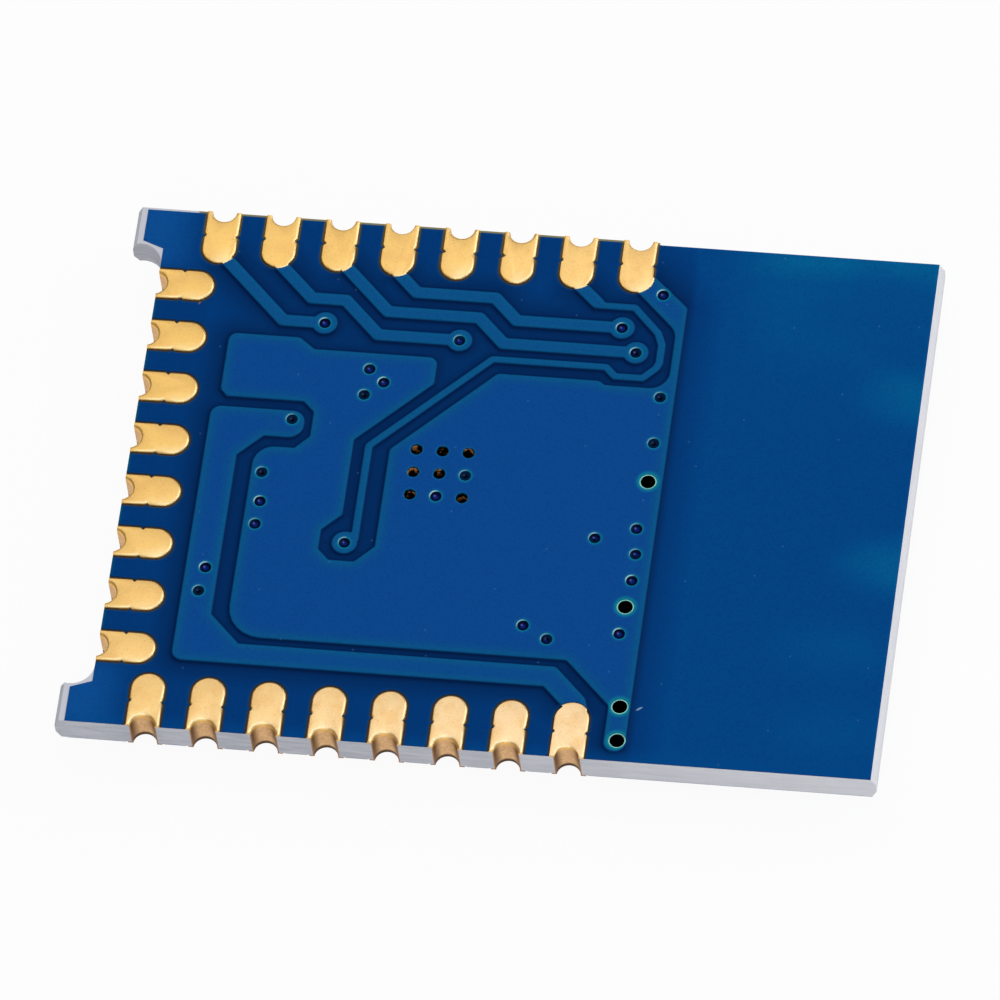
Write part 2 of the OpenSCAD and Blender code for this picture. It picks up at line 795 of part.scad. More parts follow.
// From the chip's +X leads to the parts beside them, and on from the first one to the antenna
side_fan = [for (p = [inductors[0], inductors[1], capacitors[3]])
    [[chip_x + lead_reach, p.y], [p.x - chip_part_l / 2, p.y]]
];
feed_path = [[inductors[0].x + chip_part_l / 2, feed_y], [field_right, feed_y]];
fan_paths = concat(end_fan, long_fan, top_fan, side_fan, [feed_path]);

module fan_shape(grow = 0) {
    for (p = fan_paths) polygon(track(p, fan_w + 2 * grow));
}

// A chip part's place, cleared by gap on three sides and by end_gap at its +X end
module part_clearing(p, gap, end_gap) {
    half_l = chip_part_l / 2 + land_reach;
    at_part(p)
        translate([-half_l - gap, -chip_part_w / 2 - gap])
            square([2 * half_l + gap + end_gap, chip_part_w + 2 * gap]);
}

// The ground copper of the component side: a field cleared round everything else, which each
// chip part but the one in the antenna's feed joins with one end
module ground_back(grow = 0) {
    left = end_x + back_pad_length + copper_gap - grow;
    half = row_line - back_pad_length - copper_gap + grow;
    gap = copper_gap - grow;
    difference() {
        translate([left, -half]) square([field_right + grow - left, 2 * half]);
        fan_shape(gap);
        part_clearing(inductors[0], gap, gap);
        for (p = concat(capacitors, resistors, [inductors[1]])) part_clearing(p, gap, 0);
        translate(main_crystal_at)
            square([main_crystal_l + 2 * gap, main_crystal_w + 2 * gap], center = true);
        translate(clock_crystal_at)
            square([clock_crystal_l + 2 * gap, clock_crystal_w + 2 * gap], center = true);
        translate([chip_x, chip_y]) square(chip_size + 2 * (land_reach + gap), center = true);
        for (p = concat(track_via, [control_via], power_vias))
            translate(p) circle(d = ring_d + 2 * gap);
    }
}

module back_copper(grow = 0) {
    fan_shape(grow);
    ground_back(grow);
    for (p = concat(track_via, [control_via], power_vias))
        translate(p) circle(d = ring_d + 2 * grow);
    part_lands();
    chip_lands();
}

module component_copper() {
    color(copper_colour) copper_layer(land_z) difference() {
        back_copper();
        for (i = [0:terminal_count - 1])
            at_terminal(i) pad_shape(back_pad_length, -pad_w, 0);
    }
}

// The antenna: one leg to the ground copper, one to the feed, then a meander to the far edge
antenna_left = field_right + 9 * grid;
antenna_right = antenna_x - score_w - 6 * grid - antenna_w / 2;
antenna_top = row_line - back_pad_length - 9 * grid;
antenna_legs = 4;
antenna_step = 2 * antenna_top / (2 * antenna_legs - 1);
antenna_turn = antenna_left + 13 * grid;
meander = [
    for (k = [0:2 * antenna_legs - 1]) let (y = antenna_top - k * antenna_step)
        each k % 2 == 0 ?
            [[k == 0 ? field_right : antenna_turn, y], [antenna_right, y]] :
            [[antenna_right, y], [antenna_turn, y]]
];

module antenna_shape(grow = 0) {
    polygon(track(meander, antenna_w + 2 * grow));
    polygon(track(
        [[field_right, feed_y], [antenna_left, feed_y], [antenna_left, antenna_top]],
        antenna_w + 2 * grow
    ));
}

module antenna_trace() {
    color(copper_colour) translate([0, 0, land_z]) linear_extrude(copper_t) antenna_shape();
}

module back_layer(grow = 0) {
    back_copper(grow);
    antenna_shape(grow);
    for (p = closed_vias) translate(p) circle(d = via_d + 2 * plating_t + 2 * grow);
}

module component_side_mask() {
    color(mask_colour) translate([0, 0, back_z]) mirror([0, 0, 1]) film() {
        back_layer(mask_shoulder);
        back_layer();
        back_openings();
    }
}

// Parts on the component side

module radio_chip_leads() {
    color(solder_colour) translate([chip_x, chip_y, chip_h - lead_t]) linear_extrude(lead_t) {
        lead_shape(0);
        square(thermal_pad, center = true);
    }
}

module radio_chip_body() {
    mark_d = chip_size / 10;
    mark_in = chip_edge - mark_d * 1.5;
    color(chip_colour) translate([chip_x, chip_y, 0]) difference() {
        translate([-chip_edge, -chip_edge, 0]) cube([chip_size, chip_size, chip_h]);
        translate([0, 0, chip_h - lead_t]) linear_extrude(lead_t) {
            lead_shape(0);
            square(thermal_pad, center = true);
        }
        translate([-mark_in, mark_in, 0]) cylinder(h = mark_d / 8, d = mark_d);
    }
}

module crystal_base(l, w) {
    base_h = crystal_h - lid_t;
    color(ceramic_colour) translate([0, 0, land_z - solder_t - base_h])
        translate([-l / 2, -w / 2, 0]) cube([l, w, base_h]);
}

module crystal_lid(l, w) {
    lid_r = lid_rim * 2;
    x = l / 2 - lid_rim;
    y = w / 2 - lid_rim;
    color(lid_colour) translate([0, 0, land_z - solder_t - crystal_h])
        linear_extrude(lid_t)
            polygon(rounded([[-x, -y, lid_r], [x, -y, lid_r], [x, y, lid_r], [-x, y, lid_r]]));
}

module main_crystal_base() {
    translate(main_crystal_at) crystal_base(main_crystal_l, main_crystal_w);
}

module main_crystal_lid() {
    translate(main_crystal_at) crystal_lid(main_crystal_l, main_crystal_w);
}

module clock_crystal_base() {
    translate(clock_crystal_at) crystal_base(clock_crystal_l, clock_crystal_w);
}

module clock_crystal_lid() {
    translate(clock_crystal_at) crystal_lid(clock_crystal_l, clock_crystal_w);
}

// A chip part: a body between two metal end caps
module chip_part(p, h, body_colour) {
    body_l = chip_part_l - 2 * end_cap;
    lip = chip_part_w / 25;
    translate([p.x, p.y, land_z - solder_t - h]) rotate(p[2]) {
        color(body_colour) translate([-body_l / 2, -chip_part_w / 2 + lip, lip])
            cube([body_l, chip_part_w - 2 * lip, h - 2 * lip]);
        color(solder_colour) for (s = [0, 180])
            rotate(s) translate([body_l / 2, -chip_part_w / 2, 0])
                cube([end_cap, chip_part_w, h]);
    }
}

module capacitor(i) {
    chip_part(capacitors[i], capacitor_h, ceramic_colour);
}

module resistor(i) {
    chip_part(resistors[i], resistor_h, chip_colour);
}

module inductor(i) {
    chip_part(inductors[i], inductor_h, lid_colour);
}

// Solder: a layer on every land, and a sloping fillet against each end of a chip part
module fillet(h) {
    translate([chip_part_l / 2, chip_part_w / 2, 0]) rotate([90, 0, 0])
        linear_extrude(chip_part_w)
            polygon([[0, 0], [land_reach, 0], [0, -h]]);
}

module fillets(places, h) {
    for (p = places)
        translate([p.x, p.y, land_z - solder_t]) rotate(p[2])
            for (s = [0, 180]) rotate(s) fillet(h);
}

module solder_joints() {
    climb = 0.6;
    color(solder_colour) {
        translate([0, 0, land_z - solder_t]) linear_extrude(solder_t) {
            part_lands();
            chip_lands();
        }
        fillets(capacitors, capacitor_h * climb);
        fillets(resistors, resistor_h * climb);
        fillets(inductors, inductor_h * climb);
    }
}

substrate();
pad_side_mask();
component_side_mask();
ground_pour();
power_pour();
for (i = [0:3])
    signal_track(i);
control_track();
component_copper();
antenna_trace();
tented_vias();
open_vias();
thermal_vias();
for (i = [0:terminal_count - 1])
    terminal(i);
radio_chip_body();
radio_chip_leads();
main_crystal_base();
main_crystal_lid();
clock_crystal_base();
clock_crystal_lid();
for (i = [0:capacitor_count - 1])
    capacitor(i);
for (i = [0:resistor_count - 1])
    resistor(i);
for (i = [0:inductor_count - 1])
    inductor(i);
solder_joints();
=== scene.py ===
# %% [markdown]
# # A castellated radio module, lying solder side up
#
# The module is a two-layer circuit board about 20 mm long. Its plain side, with gold pads on three
# edges and blue solder mask over the copper, faces the camera. The chip and its crystals are
# underneath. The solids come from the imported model, and this script gives them their finish: a film
# of mask that flows over the copper, softened gold pads, sawn glass-epoxy edges, and the parts below.

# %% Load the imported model
import math

import bmesh
import bpy
import numpy as np
from mathutils import Matrix, Vector, geometry
from mathutils.bvhtree import BVHTree


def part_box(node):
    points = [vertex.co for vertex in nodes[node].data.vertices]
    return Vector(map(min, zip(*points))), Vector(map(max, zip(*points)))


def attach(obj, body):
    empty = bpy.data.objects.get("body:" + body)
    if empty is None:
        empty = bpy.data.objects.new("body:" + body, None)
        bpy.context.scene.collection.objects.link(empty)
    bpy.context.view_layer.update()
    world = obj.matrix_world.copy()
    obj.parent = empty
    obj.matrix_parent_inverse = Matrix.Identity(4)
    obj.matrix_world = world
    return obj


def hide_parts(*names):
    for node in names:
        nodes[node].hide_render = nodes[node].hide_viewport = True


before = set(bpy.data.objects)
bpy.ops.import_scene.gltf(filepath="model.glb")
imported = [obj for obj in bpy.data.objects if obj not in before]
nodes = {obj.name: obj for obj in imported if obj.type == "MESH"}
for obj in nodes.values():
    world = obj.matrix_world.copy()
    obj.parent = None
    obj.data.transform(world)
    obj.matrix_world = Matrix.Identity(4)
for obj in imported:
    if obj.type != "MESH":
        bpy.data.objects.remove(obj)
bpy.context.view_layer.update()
MM = 0.001

# %% [markdown]
# ## The camera
#
# The board was photographed from far away with a long lens, so its parallel edges stay almost
# parallel. A camera can be aimed by eye, but here its direction was worked out from the pads, which
# lie on an even pitch. The camera looks down at the board from the antenna end's near corner, and it
# is rolled a little, which is why the board seems to slope on the picture.

# %% Camera
AIM = Vector((-0.003, -0.320, 1.77)) * MM
DISTANCE = 379.4 * MM
AZIMUTH = math.radians(14.502)
ELEVATION = math.radians(58.617)
ROLL = math.radians(-8.346)

outward = Vector((
    math.sin(AZIMUTH) * math.cos(ELEVATION),
    -math.cos(AZIMUTH) * math.cos(ELEVATION),
    math.sin(ELEVATION),
))
level_right = Vector((0, 0, 1)).cross(outward).normalized()
level_up = outward.cross(level_right)
right = level_right * math.cos(ROLL) + level_up * math.sin(ROLL)
up = outward.cross(right)

lens = bpy.data.cameras.new("camera")
lens.sensor_width = 36
lens.lens = 554.21
lens.clip_start = 0.01
camera = bpy.data.objects.new("camera", lens)
turn = Matrix((right, up, outward)).transposed().to_4x4()
camera.matrix_world = Matrix.Translation(AIM + outward * DISTANCE) @ turn
bpy.context.collection.objects.link(camera)
bpy.context.scene.camera = camera
print("camera at", [round(v / MM, 1) for v in camera.matrix_world.translation], "mm")

# %% [markdown]
# ## Shader maths in plain Python
#
# Every finish below is a small node tree. Wiring nodes by hand hides the thought behind them, so a
# socket is wrapped in a class whose operators add Math nodes: `1 - mask * 0.5` reads like the sum
# that it is. Colours go through Mix nodes, because a Math node would turn them grey.

# %% Sums on sockets
class Socket:
    """An output of a node, on which sums can be written."""

    def __init__(self, finish, socket):
        self.finish = finish
        self.socket = socket

    def math(self, operation, *others):
        values = dict(enumerate((self, *others)))
        return self.finish.node("Math", {"operation": operation}, values)

    def swapped(self, operation, first):
        return self.finish.node("Math", {"operation": operation}, {0: first, 1: self})

    def __add__(self, other):
        return self.math("ADD", other)

    def __sub__(self, other):
        return self.math("SUBTRACT", other)

    def __mul__(self, other):
        return self.math("MULTIPLY", other)

    def __truediv__(self, other):
        return self.math("DIVIDE", other)

    def __radd__(self, other):
        return self.swapped("ADD", other)

    def __rsub__(self, other):
        return self.swapped("SUBTRACT", other)

    def __rmul__(self, other):
        return self.swapped("MULTIPLY", other)

    def __rtruediv__(self, other):
        return self.swapped("DIVIDE", other)

    def __abs__(self):
        return self.math("ABSOLUTE")

    def axis(self, name):
        """One of the three numbers of a vector."""
        return self.finish.node("SeparateXYZ", None, {0: self}, out="XYZ".index(name))

    def rise(self, low, high):
        """0 below low, 1 above high, and a smooth climb between them."""
        sockets = {"Value": self, "From Min": low, "From Max": high}
        return self.finish.node("MapRange", {"interpolation_type": "SMOOTHSTEP"}, sockets)


# %% [markdown]
# ## One material
#
# A finish is one material: a Principled shader and the nodes that feed it. Colours are written as
# screen values, which can be read off a picture, and shaders want linear light, so one function turns
# the first into the second. One method adds any node, so each tree reads from top to bottom like a
# recipe, and a second class gives short names to the nodes that are used most.

# %% Colours
def srgb(red, green, blue):
    """The linear colour of three screen values from 0 to 255."""
    def linear(value):
        share = value / 255
        return share / 12.92 if share <= 0.04045 else ((share + 0.055) / 1.055) ** 2.4
    return (linear(red), linear(green), linear(blue), 1.0)


print("screen grey 128 is", round(srgb(128, 128, 128)[0], 3), "in linear light")

# %% Nodes of a material
class Recipe:
    """One material: a Principled shader and the nodes that feed it."""

    def __init__(self, name, **constants):
        self.material = bpy.data.materials.new(name)
        self.material.use_nodes = True
        self.tree = self.material.node_tree
        self.shader = self.tree.nodes["Principled BSDF"]
        self.set(**constants)

    def set(self, **sockets):
        for name, value in sockets.items():
            self.fill(self.shader.inputs[name.replace("_", " ")], value)

    def fill(self, socket, value):
        if isinstance(value, Socket):
            self.tree.links.new(value.socket, socket)
        else:
            socket.default_value = value

    def node(self, kind, settings=None, sockets=None, out=0):
        """Adds a node: its settings first, then the values or links of its sockets."""
        made = self.tree.nodes.new("ShaderNode" + kind)
        for name, value in (settings or {}).items():
            if name == "stops":
                self.stops(made.color_ramp.elements, value)
            else:
                setattr(made, name, value)
        for name, value in (sockets or {}).items():
            self.fill(made.inputs[name], value)
        return Socket(self, made.outputs[out])

    def stops(self, elements, stops):
        while len(elements) < len(stops):
            elements.new(1)
        for element, (position, colour) in zip(elements, stops):
            element.position = position
            element.color = srgb(*colour)


# %% Finish
class Finish(Recipe):
    """A material with short names for the nodes that are used most."""

    def mix(self, factor, *colours):
        """Two colours mixed. Each is a socket or three screen values."""
        first, second = (c if isinstance(c, Socket) else srgb(*c) for c in colours)
        return self.node("Mix", {"data_type": "RGBA"}, {0: factor, 6: first, 7: second}, out=2)

    def place(self):
        """The point of the surface in the part's own frame, in millimetres."""
        metres = self.node("TexCoord", out=3)
        return self.node("VectorMath", {"operation": "SCALE"}, {0: metres, "Scale": 1 / MM})

    def stretched(self, place, x, y, z):
        return self.node("VectorMath", {"operation": "MULTIPLY"}, {0: place, 1: (x, y, z)})

    def noise(self, place, scale, detail=2.0, roughness=0.5):
        sockets = {"Vector": place, "Scale": scale, "Detail": detail, "Roughness": roughness}
        return self.node("TexNoise", None, sockets)

    def attribute(self, name):
        return self.node("Attribute", {"attribute_name": name}, out=2)

    def bump(self, height, strength, distance, normal=None):
        sockets = {"Height": height, "Strength": strength, "Distance": distance}
        if normal:
            sockets["Normal"] = normal
        self.set(Normal=self.node("Bump", None, sockets))


# %% [markdown]
# ## Floor and light
#
# The picture is a product shot: a white ground, and soft light with no hard shadow. More light would
# turn the ground white too, but it would bleach the board. So the floor glows for the camera and in
# mirrors, and the rest of its colour is still shaded where the board keeps the light off.
#
# A big softbox overhead lights the flats, and a second one at the antenna end draws the bright line
# along the pads. Gold shows only what it mirrors, and the mouths of the half-holes curve towards the
# camera, so two weak boxes, one above and one in front, stand where those mouths look. The world fills
# the rest.

# %% Floor
FLOOR_GLOW = 0.95
FLOOR_SIZE = 3.0


def floor_finish():
    finish = Finish("pale_floor", Base_Color=srgb(246, 247, 249), Roughness=0.9, Specular_IOR_Level=0.1)
    seen = finish.node("LightPath", out=0)
    mirrored = finish.node("LightPath", out=3)
    through = finish.node("LightPath", out=6)
    glow = finish.node("Emission", None, {"Color": srgb(254, 254, 254), "Strength": 1.0})
    share = (seen + mirrored + through).math("MINIMUM", 1.0) * FLOOR_GLOW
    lit = Socket(finish, finish.shader.outputs[0])
    surface = finish.tree.nodes["Material Output"].inputs["Surface"]
    finish.fill(surface, finish.node("MixShader", None, {0: share, 1: lit, 2: glow}))
    return finish.material


bpy.ops.mesh.primitive_plane_add(size=FLOOR_SIZE)
floor = bpy.context.object
floor.name = "floor"
floor.data.materials.append(floor_finish())
print("floor", FLOOR_SIZE, "m wide")

# %% Softboxes and world
WORLD_LEVEL = 0.22


def softbox(name, direction, distance, size, level):
    """A square lamp aimed at the board. level is how bright it alone makes a white face."""
    lamp = bpy.data.lights.new(name, "AREA")
    lamp.shape = "SQUARE"
    lamp.size = size
    lamp.energy = level * (math.pi * distance) ** 2
    box = bpy.data.objects.new(name, lamp)
    toward = Vector(direction).normalized()
    box.location = AIM + toward * distance
    box.rotation_euler = toward.to_track_quat("Z", "Y").to_euler()
    bpy.context.collection.objects.link(box)


softbox("overhead_box", (-0.12, 0.48, 0.9), 0.40, 0.40, 0.32)
softbox("antenna_side_box", (0.8, 0.5, 0.62), 0.42, 0.32, 0.42)
softbox("top_box", (0.1, -0.36, 0.93), 0.45, 0.28, 0.20)
softbox("front_box", (0.05, -0.83, 0.56), 0.42, 0.30, 0.18)
world = bpy.data.worlds.new("studio")
bpy.context.scene.world = world
world.use_nodes = True
backdrop = world.node_tree.nodes["Background"].inputs
backdrop["Color"].default_value = srgb(250, 251, 255)
backdrop["Strength"].default_value = WORLD_LEVEL
bpy.context.scene.view_settings.view_transform = "Standard"
print("four softboxes, world level", WORLD_LEVEL)

# %% [markdown]
# ## Reading the copper from the frame
#
# The blue film has to follow the copper edges exactly, and the model already holds them: the film's
# solid is one level over bare laminate and a step higher over copper. Its flat faces are sorted by
# level, and an edge that both levels share is a shoulder, where the film climbs. The edges that only
# one level has are the film's rim, round a pad, an open via or the board.

# %% Triangles and borders of a solid
def mesh_arrays(node):
    """The corners in millimetres and the triangles of a solid, with shared corners welded."""
    mesh = nodes[node].data
    mesh.calc_loop_triangles()
    corners = np.empty(len(mesh.vertices) * 3, np.float32)
    mesh.vertices.foreach_get("co", corners)
    faces = np.empty(len(mesh.loop_triangles) * 3, np.int32)
    mesh.loop_triangles.foreach_get("vertices", faces)
    points = np.round(corners.reshape(-1, 3).astype(float) / MM, 4)
    points, index = np.unique(points, axis=0, return_inverse=True)
    return points, index.reshape(-1)[faces].reshape(-1, 3)


def single_edges(faces):
    """The edges that only one of the faces has, in that face's order."""
    pairs = np.concatenate([faces[:, [0, 1]], faces[:, [1, 2]], faces[:, [2, 0]]])
    _, first, count = np.unique(np.sort(pairs, axis=1), axis=0, return_index=True, return_counts=True)
    return pairs[first[count == 1]]


def border(points, faces):
    """The same edges as pairs of plan points."""
    plan = [tuple(p) for p in points[:, :2]]
    return {frozenset((plan[a], plan[b])) for a, b in np.sort(single_edges(faces), axis=1)}


print("the solder-side film has", len(mesh_arrays("pad_side_mask")[1]), "triangles")

# %% Levels, shoulders and rims of a film
FLAT = 0.999
LEVEL_TOL = 1e-3
RAY_LENGTH = 1.2


class Film:
    """The plan of a solder mask film, read from its solid. side is 1 for a film that faces up."""

    def __init__(self, node, side, base):
        points, faces = mesh_arrays(node)
        self.side = side
        self.base = base
        height = (points[:, 2] - base) * side
        corners = points[faces]
        normal = np.cross(corners[:, 1] - corners[:, 0], corners[:, 2] - corners[:, 0])
        flat = normal[:, 2] * side > FLAT * np.linalg.norm(normal, axis=1)
        level = height[faces].mean(axis=1)
        self.high = level[flat].max()
        on_high = flat & (level > self.high - LEVEL_TOL)
        self.low = np.median(level[flat & ~on_high])
        on_low = flat & (np.abs(level - self.low) < LEVEL_TOL)
        high_border = border(points, faces[on_high])
        low_border = border(points, faces[on_low])
        self.shoulders = [tuple(e) for e in high_border & low_border]
        self.rims = [tuple(e) for e in high_border ^ low_border]
        self.solid = BVHTree.FromPolygons(points.tolist(), faces.tolist())
        self.walls = self.wall_tree(self.shoulders)

    def wall_tree(self, edges):
        """Upright walls on some edges, for measuring the distance to the nearest one."""
        corners, walls = [], []
        for a, b in edges:
            n = len(corners)
            corners += [(*a, -1), (*b, -1), (*b, 1), (*a, 1)]
            walls.append((n, n + 1, n + 2, n + 3))
        return BVHTree.FromPolygons(corners, walls)

    def level_at(self, x, y):
        """The film's height over the laminate at a point, or None where there is no film."""
        start = Vector((x, y, self.base + self.side))
        hit = self.solid.ray_cast(start, Vector((0, 0, -self.side)), RAY_LENGTH)[0]
        return None if hit is None else (hit.z - self.base) * self.side


substrate_low, substrate_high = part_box("substrate")
pad_side = Film("pad_side_mask", 1, substrate_high.z / MM)
component_side = Film("component_side_mask", -1, substrate_low.z / MM)
for film in (pad_side, component_side):
    print("film levels", round(film.low, 4), round(film.high, 4), "mm,",
          len(film.shoulders), "shoulder edges,", len(film.rims), "rim edges")

# %% [markdown]
# ## Where the film is closed over a via
#
# Each plated barrel is a separate ring in its solid, so its middle is the middle of that ring. Mask
# has sunk into most of the barrels and closed them with a small dimple. The film's solid tells which:
# a ray down a closed via hits the film, and a ray down an open one goes through.

# %% Middles of the vias
def ring_middles(node):
    """The plan middle of each separate ring of a node."""
    points, faces = mesh_arrays(node)
    label = np.arange(len(points))
    while True:
        lowest = label[faces].min(axis=1)
        changed = label.copy()
        for corner in range(3):
            np.minimum.at(changed, faces[:, corner], lowest)
        if (changed == label).all():
            break
        label = changed
    rings = [points[label == k, :2] for k in np.unique(label)]
    return [tuple((ring.min(axis=0) + ring.max(axis=0)) / 2) for ring in rings]


tented = ring_middles("tented_vias")
opened = ring_middles("open_vias")
thermal = ring_middles("thermal_vias")
closed_thermal = [c for c in thermal if pad_side.level_at(*c) is not None]
print(len(tented), "tented,", len(opened), "open,", len(thermal), "thermal vias, of which",
      len(closed_thermal), "are closed")

# %% [markdown]
# ## The film as a surface that flows
#
# The solid's film has square steps. Real mask is printed wet and pulls thin over a copper edge, so its
# shoulders are round. A Bevel modifier would do on a few clean edges, but these edges crowd together
# and cross, so the surface is built anew: points are laid along each shoulder at growing distances,
# a Delaunay triangulation joins them, and every point's height comes from its own distance to the
# shoulder. The same distances stay on the mesh as attributes, which the blue finish reads.
#
# First come the points. They are laid in rows beside the edges, close to them where the film bends and
# further apart where it lies flat, and in rings over the closed vias. A point that lands too near
# another is dropped, because slivers would crease the surface.

# %% Points beside the edges
EDGE_STEP = 0.09
FINE_REACH = 0.1


def split_edge(a, b):
    """The points that cut an edge into steps, its ends included."""
    a, b = np.array(a), np.array(b)
    count = max(1, math.ceil(np.linalg.norm(b - a) / EDGE_STEP))
    return [tuple(np.round(a + (b - a) * k / count, 5).tolist()) for k in range(count + 1)]


def beside(edges, rings):
    """Points on both sides of some edges, with the distance that each was laid at."""
    for distance in rings:
        step = EDGE_STEP * max(1, distance / FINE_REACH)
        for a, b in edges:
            a, b = np.array(a), np.array(b)
            run = b - a
            length = np.linalg.norm(run)
            normal = np.array((run[1], -run[0])) / length
            count = max(1, math.ceil(length / step))
            for k in range(count + 1):
                for sign in (-1, 1):
                    yield tuple(a + run * k / count + normal * distance * sign), distance, step


# %% Points kept apart
CELL = 0.05


def cell_of(point):
    return int(point[0] // CELL), int(point[1] // CELL)


class Spread:
    """Keeps points that lie far enough from those kept before, sorted into square cells."""

    def __init__(self):
        self.cells = {}
        self.points = []
        self.known = set()

    def crowded(self, point, gap):
        if gap == 0:
            return point in self.known
        x, y = cell_of(point)
        reach = int(gap // CELL) + 1
        for i in range(x - reach, x + reach + 1):
            for j in range(y - reach, y + reach + 1):
                for other in self.cells.get((i, j), ()):
                    if math.dist(point, other) < gap:
                        return True
        return False

    def add(self, point, gap):
        if not self.crowded(point, gap):
            self.cells.setdefault(cell_of(point), []).append(point)
            self.points.append(point)
            self.known.add(point)


# %% Rings over a closed via
DIMPLE_RINGS = (0.03, 0.06, 0.09, 0.115, 0.135, 0.155, 0.175, 0.2, 0.235)


def dimple_points(middle):
    """Rings of points in and round a closed via, and its middle."""
    for radius in DIMPLE_RINGS:
        count = round(12 + radius * 80)
        for k in range(count):
            turn = 2 * math.pi * k / count
            yield middle[0] + radius * math.cos(turn), middle[1] + radius * math.sin(turn)
    yield middle


# %% All points of a film
SHOULDER_RINGS = (0.014, 0.03, 0.05, 0.085, 0.14, 0.24, 0.42, 0.75)
SHOULDER_APART = (0.45, 0.7)
RIM_RINGS = (0.02, 0.05, 0.12)
RIM_APART = (0.4, 0.6)
RIM_CLEAR = 0.015
OWN_ROW = 0.9
OPEN_GRID = 0.4
DIMPLE_APART = 0.01


def away(tree, point):
    """The distance in plan from a point to the nearest wall of a tree."""
    return tree.find_nearest((*point, 0))[3]


def film_points(film, rims, dimples):
    """The fixed edges of a film, split into steps, and the free points among them."""
    spread = Spread()
    fixed = []
    for edge in film.shoulders + rims:
        chain = split_edge(*edge)
        for point in chain:
            spread.add(point, 0)
        fixed += list(zip(chain, chain[1:]))
    rim_walls = film.wall_tree(rims)
    for middle in dimples:
        for point in dimple_points(middle):
            spread.add(point, DIMPLE_APART)
    for point, distance, step in beside(rims, RIM_RINGS):
        if film.level_at(*point) and away(rim_walls, point) > OWN_ROW * distance:
            spread.add(point, min(RIM_APART[0] * step, RIM_APART[1] * distance))
    for point, distance, step in beside(film.shoulders, SHOULDER_RINGS):
        if away(film.walls, point) > OWN_ROW * distance and film.level_at(*point):
            if away(rim_walls, point) > RIM_CLEAR:
                spread.add(point, min(SHOULDER_APART[0] * step, SHOULDER_APART[1] * distance))
    low, high = (np.array(v) / MM for v in (substrate_low, substrate_high))
    for x in np.arange(low[0], high[0], OPEN_GRID):
        for y in np.arange(low[1], high[1], OPEN_GRID):
            if film.level_at(x, y) and away(film.walls, (x, y)) > OPEN_GRID:
                spread.add((float(x), float(y)), 0.5 * OPEN_GRID)
    print(len(spread.points), "points,", len(fixed), "fixed edges")
    return spread.points, fixed, rim_walls


# %% [markdown]
# ## From points to a film
#
# The triangulation fills the whole outline, so the triangles over pads and open vias are taken out
# again: a ray down the middle of each tells whether the solid has film there. The surface could stay
# an open sheet, but the film has a thickness that shows at its rim, so it gets a wall there and an
# underside, and is a closed shape.

# %% Triangles of the film
DIMPLE_R = 0.165


def triangulate(points, edges):
    """A Delaunay triangulation that keeps the edges: its points and triangles."""
    index = {p: i for i, p in enumerate(points)}
    pairs = [(index[a], index[b]) for a, b in edges]
    found = geometry.delaunay_2d_cdt([Vector(p) for p in points], pairs, [], 0, 1e-6)
    return np.array([tuple(v) for v in found[0]]), np.array(found[2])


def upright(plan, faces):
    """The triangles turned counter-clockwise."""
    a, b, c = (plan[faces[:, k]] for k in range(3))
    area = (b[:, 0] - a[:, 0]) * (c[:, 1] - a[:, 1]) - (b[:, 1] - a[:, 1]) * (c[:, 0] - a[:, 0])
    turned = faces.copy()
    turned[area < 0] = faces[area < 0][:, ::-1]
    return turned


def covered(film, plan, faces, dimples):
    """Which triangles lie on the film, and which of those are over copper."""
    middles = plan[faces].mean(axis=1)
    half_way = (film.low + film.high) / 2
    kept, over = [], []
    for middle in middles:
        level = film.level_at(*middle)
        near = any(math.dist(middle, d) < DIMPLE_R * 1.3 for d in dimples)
        kept.append(near or level is not None)
        over.append(near or (level or 0) > half_way)
    return np.array(kept), np.array(over)


# %% A closed mesh
def closed_film(name, film, plan, faces, height, marks):
    """Gives the film's surface a wall down to the laminate and a flat underside."""
    outline = single_edges(faces)
    foot = {p: len(plan) + k for k, p in enumerate(np.unique(outline))}
    foot_plan = [tuple(plan[p]) for p in foot]
    walls = [(b, a, foot[a], foot[b]) for a, b in outline]
    under_plan, under = triangulate(foot_plan, [(tuple(plan[a]), tuple(plan[b])) for a, b in outline])
    under = upright(under_plan, under)
    under = under[covered(film, under_plan, under, [])[0]]
    corners = np.column_stack([plan, film.base + film.side * height])
    feet = np.column_stack([under_plan, np.full(len(under_plan), film.base)])
    skin = [tuple(f) for f in faces] + walls + [tuple(f[::-1]) for f in under + len(plan)]
    if film.side < 0:
        skin = [f[::-1] for f in skin]
    mesh = bpy.data.meshes.new(name)
    mesh.from_pydata((np.concatenate([corners, feet]) * MM).tolist(), [], skin)
    mesh.polygons.foreach_set("use_smooth", np.arange(len(skin)) < len(faces))
    for mark, values in marks.items():
        column = mesh.attributes.new(mark, "FLOAT", "POINT")
        column.data.foreach_set("value", np.append(values, np.zeros(len(feet))).astype(np.float32))
    piece = bpy.data.objects.new(name, mesh)
    bpy.context.collection.objects.link(piece)
    print(name, len(mesh.polygons), "faces")
    return piece


# %% [markdown]
# ## Heights and distances
#
# Each point's height is the sum of what the wet film does there: it climbs at a shoulder, sinks in a
# bowl over a closed via, and thins out at a rim. The distances behind those sums are kept on the mesh.

# %% Distances to vias and pads
FAR = 9.0


def to_nearest(plan, middles):
    """The distance from each point to the nearest of some middles."""
    if not len(middles):
        return np.full(len(plan), FAR)
    return np.min([np.hypot(*(plan - np.array(m)).T) for m in middles], axis=0)


def pad_tree():
    """The surfaces of all terminals, for measuring how near a pad is."""
    corners, faces = [], []
    for node in nodes:
        if node.startswith("terminal_"):
            points, triangles = mesh_arrays(node)
            faces += (triangles + len(corners)).tolist()
            corners += points.tolist()
    return BVHTree.FromPolygons(corners, faces)


